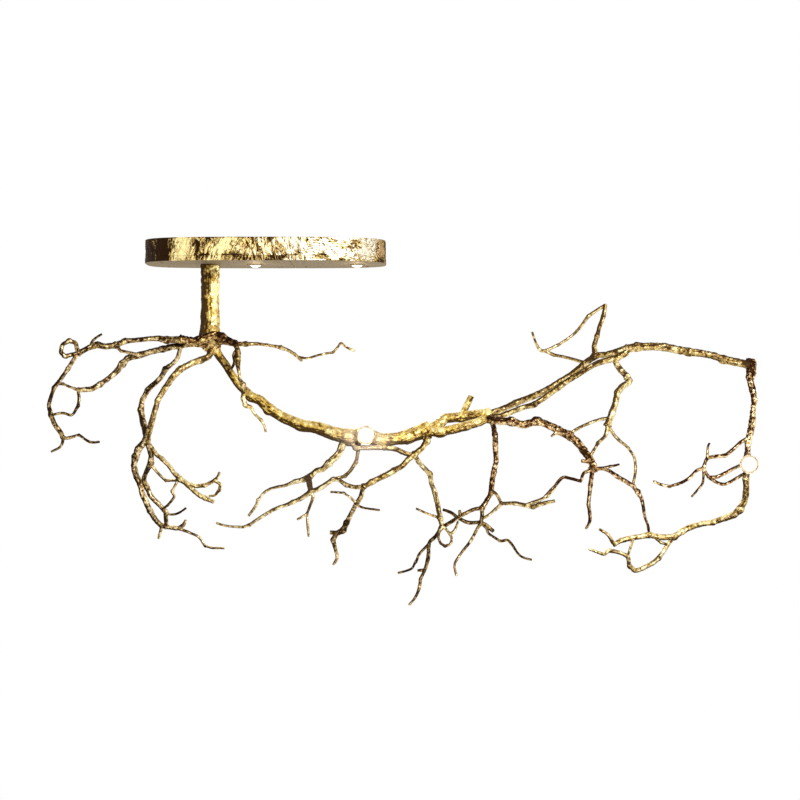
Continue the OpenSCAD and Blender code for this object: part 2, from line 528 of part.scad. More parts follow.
module left_root_outer() color(umber)
    casting(left_root_outer_r, [left_root_lower_r, left_root_inner_r]) wood(crown_r);
module left_cluster_outer() color(umber)
    casting(left_cluster_outer_r, [left_root_inner_r, left_root_outer_r]);
module left_cluster_middle() color(umber)
    casting(left_cluster_middle_r, [left_root_inner_r, left_root_outer_r, left_cluster_outer_r]);
module left_cluster_right() color(pale_gold)
    casting(left_cluster_right_r, [left_root_inner_r, left_cluster_outer_r, left_cluster_middle_r]);
module right_root() color(umber) casting(right_root_r) {
    wood(crown_r);
    main_limb_wood();
}

// ---- Lamps ------------------------------------------------------------------------------------
cup_floor = plug_l;
cup_in_d = lamp_d + 2 * fit;
cup_rim = 1.6;

module lamp_cup(s) on_boss(s) rotate_extrude() polygon([
    [plug_d / 2 + fit, 0], [cup_back_d / 2, 0], [cup_in_d / 2 + cup_rim, cup_h / 2],
    [cup_in_d / 2 + cup_rim, cup_h], [cup_in_d / 2, cup_h], [cup_in_d / 2, cup_floor],
    [plug_d / 2 + fit, cup_floor]]);

// Lamp with a shallow dome and a round plug
lens_rise = 3;
module lamp(s) on_boss(s) rotate_extrude() polygon(concat(
    [[0, fit], [plug_d / 2, fit], [plug_d / 2, cup_floor + fit], [lamp_d / 2, cup_floor + fit]],
    [for (a = [0:10:90]) [lamp_d / 2 * cos(a), cup_h - 1 + lens_rise * sin(a)]]));

module near_cup() color(umber) lamp_cup(near_lamp_s);
module near_lamp() color(milk) lamp(near_lamp_s);
module end_cup() color(umber) lamp_cup(end_lamp_s);
module end_lamp() color(milk) lamp(end_lamp_s);

// ---- Canopy -------------------------------------------------------------------------------------
pillar_end = 39;
pillar_seam = 25;
pillar_x = [pillar_end - canopy_l / 2, seam_x - pillar_seam, seam_x + pillar_seam, canopy_l / 2 - pillar_end];
pillar_y = plate_w / 2 - 10;
pillar_d = 9;
tray_screw_d = 4;
screw_grip = 14;
seam_gap = 0.5;
spot_rim = 4;
spot_h = 20;

// Places along the pillars' two rows
module at_pillars() for (x = pillar_x, y = [-pillar_y, pillar_y]) translate([x, y, 0]) children();

module canopy_band() color(gold) difference() {
    translate([0, 0, -band_h]) linear_extrude(band_h) polygon(edge(0));
    translate([0, 0, -band_h - 1]) linear_extrude(band_h + 2) polygon(edge(band_wall));
}

// A shallow tray with the holes for the stem, the spots and the screws
module tray() difference() {
    translate([0, 0, floor_z]) linear_extrude(tray_h) polygon(edge(0));
    translate([0, 0, tray_top_z]) linear_extrude(tray_h) polygon(edge(tray_wall));
    translate([stem_x, 0, floor_z - 1]) cylinder(d = tube_d + 2 * fit, h = tray_h);
    for (x = [spot_left_x, spot_right_x]) translate([x, 0, floor_z - 1])
        cylinder(d = spot_d + 2 * fit, h = tray_h);
    at_pillars() translate([0, 0, floor_z - 1]) cylinder(d = tray_screw_d + 2 * fit, h = tray_h);
}
module left_of_seam() translate([-canopy_l, -canopy_w, floor_z - 1])
    cube([canopy_l + seam_x - seam_gap / 2, 2 * canopy_w, tray_h + 2]);
module right_of_seam() translate([seam_x + seam_gap / 2, -canopy_w, floor_z - 1])
    cube([canopy_l, 2 * canopy_w, tray_h + 2]);
module canopy_tray_left() color(satin) intersection() { tray(); left_of_seam(); }
module canopy_tray_right() color(satin) intersection() { tray(); right_of_seam(); }

module canopy_pillars() color(steel) at_pillars() difference() {
    translate([0, 0, tray_top_z]) cylinder(d = pillar_d, h = plate_z - tray_top_z);
    translate([0, 0, tray_top_z - 1]) cylinder(d = tray_screw_d, h = screw_grip + 2);
}
// A domed head and a plain shank that enters from below
module screw_up(d, grip, head_z) translate([0, 0, head_z]) rotate_extrude() polygon([
    [0, -0.5 * d], [0.5 * d, -0.5 * d], [0.9 * d, -0.2 * d], [0.95 * d, 0], [d / 2, 0],
    [d / 2, grip], [0, grip]]);
module tray_screws() color(satin) at_pillars() screw_up(tray_screw_d, screw_grip, floor_z);

// ---- Ceiling plate and stem -----------------------------------------------------------------------
flange_d = 84;
flange_t = 6;
flange_bolt_r = 33;
flange_bolt_d = 5;
flange_angles = [45, 135, 225, 315];
earth_place = [-40, -50, 0];
earth_d = 4;
module at_flange_bolts() for (a = flange_angles) translate([stem_x, 0, 0]) rotate(a)
    translate([flange_bolt_r, 0, 0]) children();
module rounded_bar(l, w, h, r) linear_extrude(h) hull()
    for (x = [r - l / 2, l / 2 - r], y = [r - w / 2, w / 2 - r]) translate([x, y]) circle(r = r, $fn = 32);

module ceiling_plate() color(steel) difference() {
    intersection() {
        translate([-plate_l / 2, -plate_w / 2, plate_z]) cube([plate_l, plate_w, plate_t]);
        translate([0, 0, plate_z]) linear_extrude(plate_t) polygon(edge(band_wall + 2 * fit));
    }
    translate([wire_x, 0, plate_z - 1]) cylinder(d = wire_hole_d, h = plate_t + 2);
    for (x = [-1, 1] * ceiling_screw_x / 2, y = [-1, 1] * ceiling_screw_y / 2)
        translate([x, y, plate_z - 1]) cylinder(d = ceiling_hole_d, h = plate_t + 2);
    at_flange_bolts() translate([0, 0, plate_z - 1]) cylinder(d = flange_bolt_d, h = plate_t + 2);
    translate(earth_place + [0, 0, plate_z - 1]) cylinder(d = earth_d, h = plate_t + 2);
    at_driver_screws() translate([0, 0, plate_z - 1]) cylinder(d = driver_screw_d, h = plate_t + 2);
}
module stem_flange() color(steel) difference() {
    translate([stem_x, 0, plate_z - flange_t]) cylinder(d = flange_d, h = flange_t);
    translate([stem_x, 0, plate_z - flange_t - 1]) cylinder(d = tube_d, h = flange_t + 2);
    at_flange_bolts() translate([0, 0, plate_z - flange_t - 1])
        cylinder(d = flange_bolt_d + 2 * fit, h = flange_t + 2);
}
module flange_bolts() color(steel) at_flange_bolts()
    screw_up(flange_bolt_d, flange_t + plate_t, plate_z - flange_t);
// The tube ends a little short of the crown's floor and lets the lead in under the plate
lead_gate_d = 8;
lead_gate_z = plate_z - flange_t - 10;
module lead_gate() translate([stem_x, 0, lead_gate_z]) rotate([0, 90, 0])
    cylinder(d = lead_gate_d, h = tube_d);
module stem_tube() color(steel) difference() {
    translate([stem_x, 0, foot_z - crown_socket + fit])
        cylinder(d = tube_d, h = plate_z - foot_z + crown_socket - fit);
    translate([stem_x, 0, foot_z - crown_socket - 1])
        cylinder(d = tube_bore, h = plate_z - foot_z + crown_socket - 3);
    lead_gate();
}
// Cast sleeve, waisted, with a flare at the canopy and a wider one at the crown
flare = 4;
module stem_sleeve() color(pale_gold) translate([stem_x, 0, 0]) difference() {
    rotate_extrude() polygon(concat(
        [[0, foot_z], [sleeve_d / 2 + flare, foot_z]],
        [for (a = [0:15:90]) [sleeve_d / 2 + flare * (1 - sin(a)), foot_z + 2 + 16 * (1 - cos(a))]],
        [for (a = [90:-15:0]) [sleeve_d / 2 + flare / 2 * (1 - sin(a)), floor_z - 2 - 10 * (1 - cos(a))]],
        [[sleeve_d / 2 + flare / 2, floor_z], [0, floor_z]]));
    translate([0, 0, foot_z - 1]) cylinder(d = tube_d + 2 * fit, h = sleeve_l + 2);
}
// Grub screw that locks the crown on the tube, from behind
crown_screw_d = 5;
crown_screw_z = foot_z - crown_socket / 2;
crown_screw_l = 10;
module crown_screw_hole() translate([stem_x, 0, crown_screw_z]) rotate([-90, 0, 0])
    cylinder(d = crown_screw_d + 2 * fit, h = 60);
module crown_screw() color(steel) difference() {
    translate([stem_x, tube_d / 2, crown_screw_z]) rotate([-90, 0, 0])
        cylinder(d = crown_screw_d, h = crown_screw_l);
    translate([stem_x, tube_d / 2 + crown_screw_l - 3, crown_screw_z]) rotate([-90, 0, 0])
        cylinder(d = crown_screw_d / 2, h = 4, $fn = 6);
}

// ---- Canopy spots -------------------------------------------------------------------------------------
spot_wall = 2;
spot_flange_t = 2;
module spot(x) translate([x, 0, floor_z]) rotate_extrude() polygon([
    [0, spot_h], [spot_d / 2, spot_h], [spot_d / 2, 0], [spot_d / 2 + spot_rim, 0],
    [spot_d / 2 + spot_rim, -spot_flange_t / 2], [spot_d / 2 + spot_rim - 1, -spot_flange_t],
    [spot_d / 2 - spot_wall, -spot_flange_t], [spot_d / 2 - spot_wall, spot_h / 2], [0, spot_h / 2]]);
module spot_lens(x) translate([x, 0, floor_z - spot_flange_t / 2])
    cylinder(d = spot_d - 2 * spot_wall - 2 * fit, h = spot_h / 2 + spot_flange_t / 2 - fit);
module spot_left() color(satin) spot(spot_left_x);
module spot_right() color(satin) spot(spot_right_x);
module spot_lens_left() color(milk) spot_lens(spot_left_x);
module spot_lens_right() color(milk) spot_lens(spot_right_x);

// ---- Wiring ---------------------------------------------------------------------------------------------
driver_l = 124;
driver_w = 40;
driver_h = 24;
driver_lug = 12;
driver_gap = 24;
driver_place = [92, plate_w / 2 - driver_w / 2 - driver_gap, 0];
driver_screw_d = 4;
block_l = 36;
block_w = 18;
block_h = 15;
block_well_d = 6;
block_way_d = 4;
block_place = [80, -34, 0];
module at_driver_screws() for (x = [-1, 1] * (driver_l / 2 + driver_lug / 2))
    translate(driver_place + [x, 0, 0]) children();
module led_driver() color("white") difference() {
    translate(driver_place) union() {
        translate([0, 0, plate_z - driver_h])
            linear_extrude(driver_h) square([driver_l, driver_w], center = true);
        translate([0, 0, plate_z - 3])
            linear_extrude(3) square([driver_l + 2 * driver_lug, driver_w / 2], center = true);
    }
    at_driver_screws() translate([0, 0, plate_z - 4]) cylinder(d = driver_screw_d + 2 * fit, h = 6);
}
module driver_screws() color(steel) at_driver_screws() screw_up(driver_screw_d, 3 + plate_t, plate_z - 3);
module earth_screw() color("gold") translate(earth_place) screw_up(earth_d, plate_t, plate_z);
// Three-pole block with a screw well and a wire way for each pole
poles = 3;
module terminal_block() color("ivory") translate(block_place) difference() {
    translate([-block_l / 2, -block_w / 2, plate_z - block_h]) cube([block_l, block_w, block_h]);
    for (i = [0:poles - 1]) translate([(i - 1) * block_l / poles, 0, 0]) {
        translate([0, 0, plate_z - block_h - 1]) cylinder(d = block_well_d, h = block_well_d);
        translate([0, -block_w, plate_z - block_h / 2]) rotate([-90, 0, 0])
            cylinder(d = block_way_d, h = 2 * block_w);
    }
}
// Round leads on short routes of [x, y, z]
lead_d = 3;
stem_lead_d = 5;
lead_z = plate_z - 12;
pole_pitch = block_l / poles;
module lead(route, d = lead_d, sides = 6) {
    n = len(route);
    points = [for (i = [0:n - 1]) let (t = unit(route[min(i + 1, n - 1)] - route[max(i - 1, 0)]),
        u = unit(cross(abs(t.x) > 0.8 ? [0, 0, 1] : [1, 0, 0], t)), v = cross(t, u))
        for (k = [0:sides - 1])
            let (a = 360 * k / sides) route[i] + d / 2 * (cos(a) * u + sin(a) * v)];
    tube(points, n, sides);
}

driver_face_x = driver_place.x - driver_l / 2;
driver_end_x = driver_place.x + driver_l / 2;
driver_front_y = driver_place.y - driver_w / 2;
block_back_y = block_place.y + block_w / 2;
block_front_y = block_place.y - block_w / 2;
spot_top_z = floor_z + spot_h;
// A lead leaves each face square to it, from a clearance away, over a short straight
lead_straight = 4;
spot_lead_y = driver_place.y - 8;
stem_lead_y = driver_place.y + 6;
spot_lead_z = lead_z - 4;
module spot_lead(face_x, side, spot_x) lead([
    [face_x + side * fit, spot_lead_y, spot_lead_z],
    [face_x + side * lead_straight, spot_lead_y, spot_lead_z],
    [face_x + side * 3 * lead_straight, spot_lead_y - 2 * lead_straight, spot_lead_z],
    [spot_x, 2 * lead_straight, spot_top_z + 2 * lead_straight],
    [spot_x, 0, spot_top_z + lead_straight], [spot_x, 0, spot_top_z + fit]]);
module canopy_leads() color("dimgray") {
    for (i = [-1, 0]) let (x = block_place.x + i * pole_pitch, sag = 3)
        lead([[x, block_back_y, plate_z - block_h / 2], [x, block_back_y + 8, lead_z],
              [x, (block_back_y + driver_front_y) / 2, lead_z - sag],
              [x, driver_front_y - 8, lead_z], [x, driver_front_y - fit, lead_z]]);
    lead([[block_place.x + pole_pitch, block_front_y, plate_z - block_h / 2],
          [block_place.x + pole_pitch, block_front_y - 8, lead_z], [60, -62, lead_z],
          [0, -64, lead_z], [earth_place.x + 4, -60, lead_z], [earth_place.x, earth_place.y, plate_z - 3]]);
    spot_lead(driver_end_x, 1, spot_right_x);
    spot_lead(driver_face_x, -1, spot_left_x);
}
module stem_lead() color("dimgray") lead([
    [driver_face_x - fit, stem_lead_y, lead_z - 2], [driver_face_x - lead_straight, stem_lead_y, lead_z - 2],
    [-16, stem_lead_y - 6, lead_gate_z],
    [-50, 24, lead_gate_z], [-76, 6, lead_gate_z], [stem_x + 12, 0, lead_gate_z],
    [stem_x + 4, 0, lead_gate_z - 3], [stem_x, 0, lead_gate_z - 12],
    [stem_x, 0, (lead_gate_z + foot_z) / 2], [stem_x, 0, foot_z - crown_socket + 1]], stem_lead_d, 8);

ceiling_plate();
stem_flange();
flange_bolts();
stem_tube();
stem_sleeve();
canopy_band();
canopy_tray_left();
canopy_tray_right();
canopy_pillars();
tray_screws();
led_driver();
driver_screws();
terminal_block();
earth_screw();
canopy_leads();
stem_lead();
spot_left();
spot_right();
spot_lens_left();
spot_lens_right();
crown();
crown_screw();
main_limb();
under_strand();
twin_fork();
middle_limb();
end_limb();
end_drop();
end_arch();
end_loop();
end_lamp_twig();
top_twig();
inner_arch();
copper_branch();
copper_right_twig();
copper_left_twigs();
long_drop();
long_drop_left();
long_drop_tail();
long_drop_right();
curl_drop();
near_drop();
near_drop_tail();
near_drop_left();
slant_drop();
tie_twig();
left_root_upper();
left_root_far();
left_root_lower();
left_root_outer();
left_root_inner();
left_cluster_outer();
left_cluster_middle();
left_cluster_right();
right_root();
near_cup();
near_lamp();
end_cup();
end_lamp();
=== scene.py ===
"""Looks of the branch chandelier: cast branches with bark and gold leaf, a leafed canopy and four lamps."""
import math

import bmesh
import bpy
import numpy as np
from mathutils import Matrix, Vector
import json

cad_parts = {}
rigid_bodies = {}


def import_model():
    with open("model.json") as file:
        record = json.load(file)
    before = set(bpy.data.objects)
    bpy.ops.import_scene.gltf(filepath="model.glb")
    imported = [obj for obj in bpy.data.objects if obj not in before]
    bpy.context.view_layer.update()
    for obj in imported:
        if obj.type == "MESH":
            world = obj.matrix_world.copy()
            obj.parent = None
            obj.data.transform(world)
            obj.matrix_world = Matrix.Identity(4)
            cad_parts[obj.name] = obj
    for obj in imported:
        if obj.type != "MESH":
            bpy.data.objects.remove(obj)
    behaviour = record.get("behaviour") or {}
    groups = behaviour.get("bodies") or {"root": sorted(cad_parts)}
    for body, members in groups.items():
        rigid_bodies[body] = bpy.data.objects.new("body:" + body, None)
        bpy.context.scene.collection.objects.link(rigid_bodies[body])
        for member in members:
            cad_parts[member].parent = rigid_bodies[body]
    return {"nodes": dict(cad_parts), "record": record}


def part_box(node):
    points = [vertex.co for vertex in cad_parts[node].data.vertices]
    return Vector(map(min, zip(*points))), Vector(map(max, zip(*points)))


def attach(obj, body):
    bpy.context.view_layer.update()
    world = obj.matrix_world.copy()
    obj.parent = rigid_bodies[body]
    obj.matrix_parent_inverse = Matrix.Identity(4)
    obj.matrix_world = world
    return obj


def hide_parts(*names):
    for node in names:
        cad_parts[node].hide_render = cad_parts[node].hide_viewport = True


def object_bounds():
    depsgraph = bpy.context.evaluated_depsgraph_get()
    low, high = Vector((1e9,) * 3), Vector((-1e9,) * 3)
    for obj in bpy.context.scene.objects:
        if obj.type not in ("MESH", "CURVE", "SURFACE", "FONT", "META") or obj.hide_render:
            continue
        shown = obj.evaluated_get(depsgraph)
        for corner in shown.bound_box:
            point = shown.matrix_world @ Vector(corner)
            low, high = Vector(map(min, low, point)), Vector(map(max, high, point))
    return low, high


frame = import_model()
cad_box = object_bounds()
MM = 0.001

# ---- Sizes shared with the CAD, in millimetres ----
SIGHT = (268, 4800, -326)  # where the eye meets the drawing, and how far off it stands
SPREAD = 1.5  # how much deeper a station stands than the drawing says
DRAWING_Z = 9  # how far the drawing is raised
STEM_X, FOOT_Z, FLOOR_Z = -112, -187, -46
SLEEVE_D, SLEEVE_FLARE = 36, 4
CANOPY_L, CANOPY_W, BAND_H = 480, 284, 36
EDGE_POWER, EDGE_WANDER, EDGE_STEP = 3.4, 2.4, 6
LAMP_D, BOSS_REACH = 33, 20
NEAR_LAMP, END_LAMP = (200, -30, -396, 30), (962, -14, -454, 20)  # stations of the lamps' seats

# ---- Sizes of the bark, the leaf and the lenses, in millimetres ----
THINNEST, RIND = 4.2, 0.7  # thinnest twig, and how much bark adds to a thickness
BLUNT = 0.8  # thickness of a twig's end against the station before it
BOSS_R = 13.2
SPOT_DOME = 4.5
STRIP_POINTS, STRIP_ROWS = 1150, 37
# Painted shade in the gaps between band and tray: stretches along x, in millimetres.
PAINTED_SHADE_GAPS = ((-124, -100), (-86, -36), (42, 70), (110, 128))  # dark gaps between band and tray
FOLD_DEPTH, BAND_BACK, TRAY_ROUND = 2.8, 4.5, 1.1  # leaf's folds, band's back wall, rounded edge of a tray
# A painted pool of lamp light: the limbs in front of each lamp are painted paler, as if lit by it.
PAINTED_LAMP_POOLS = ((NEAR_LAMP, 42, 0.85), (END_LAMP, 18, 0.3))  # a lamp's seat, its pale wash's reach and amount

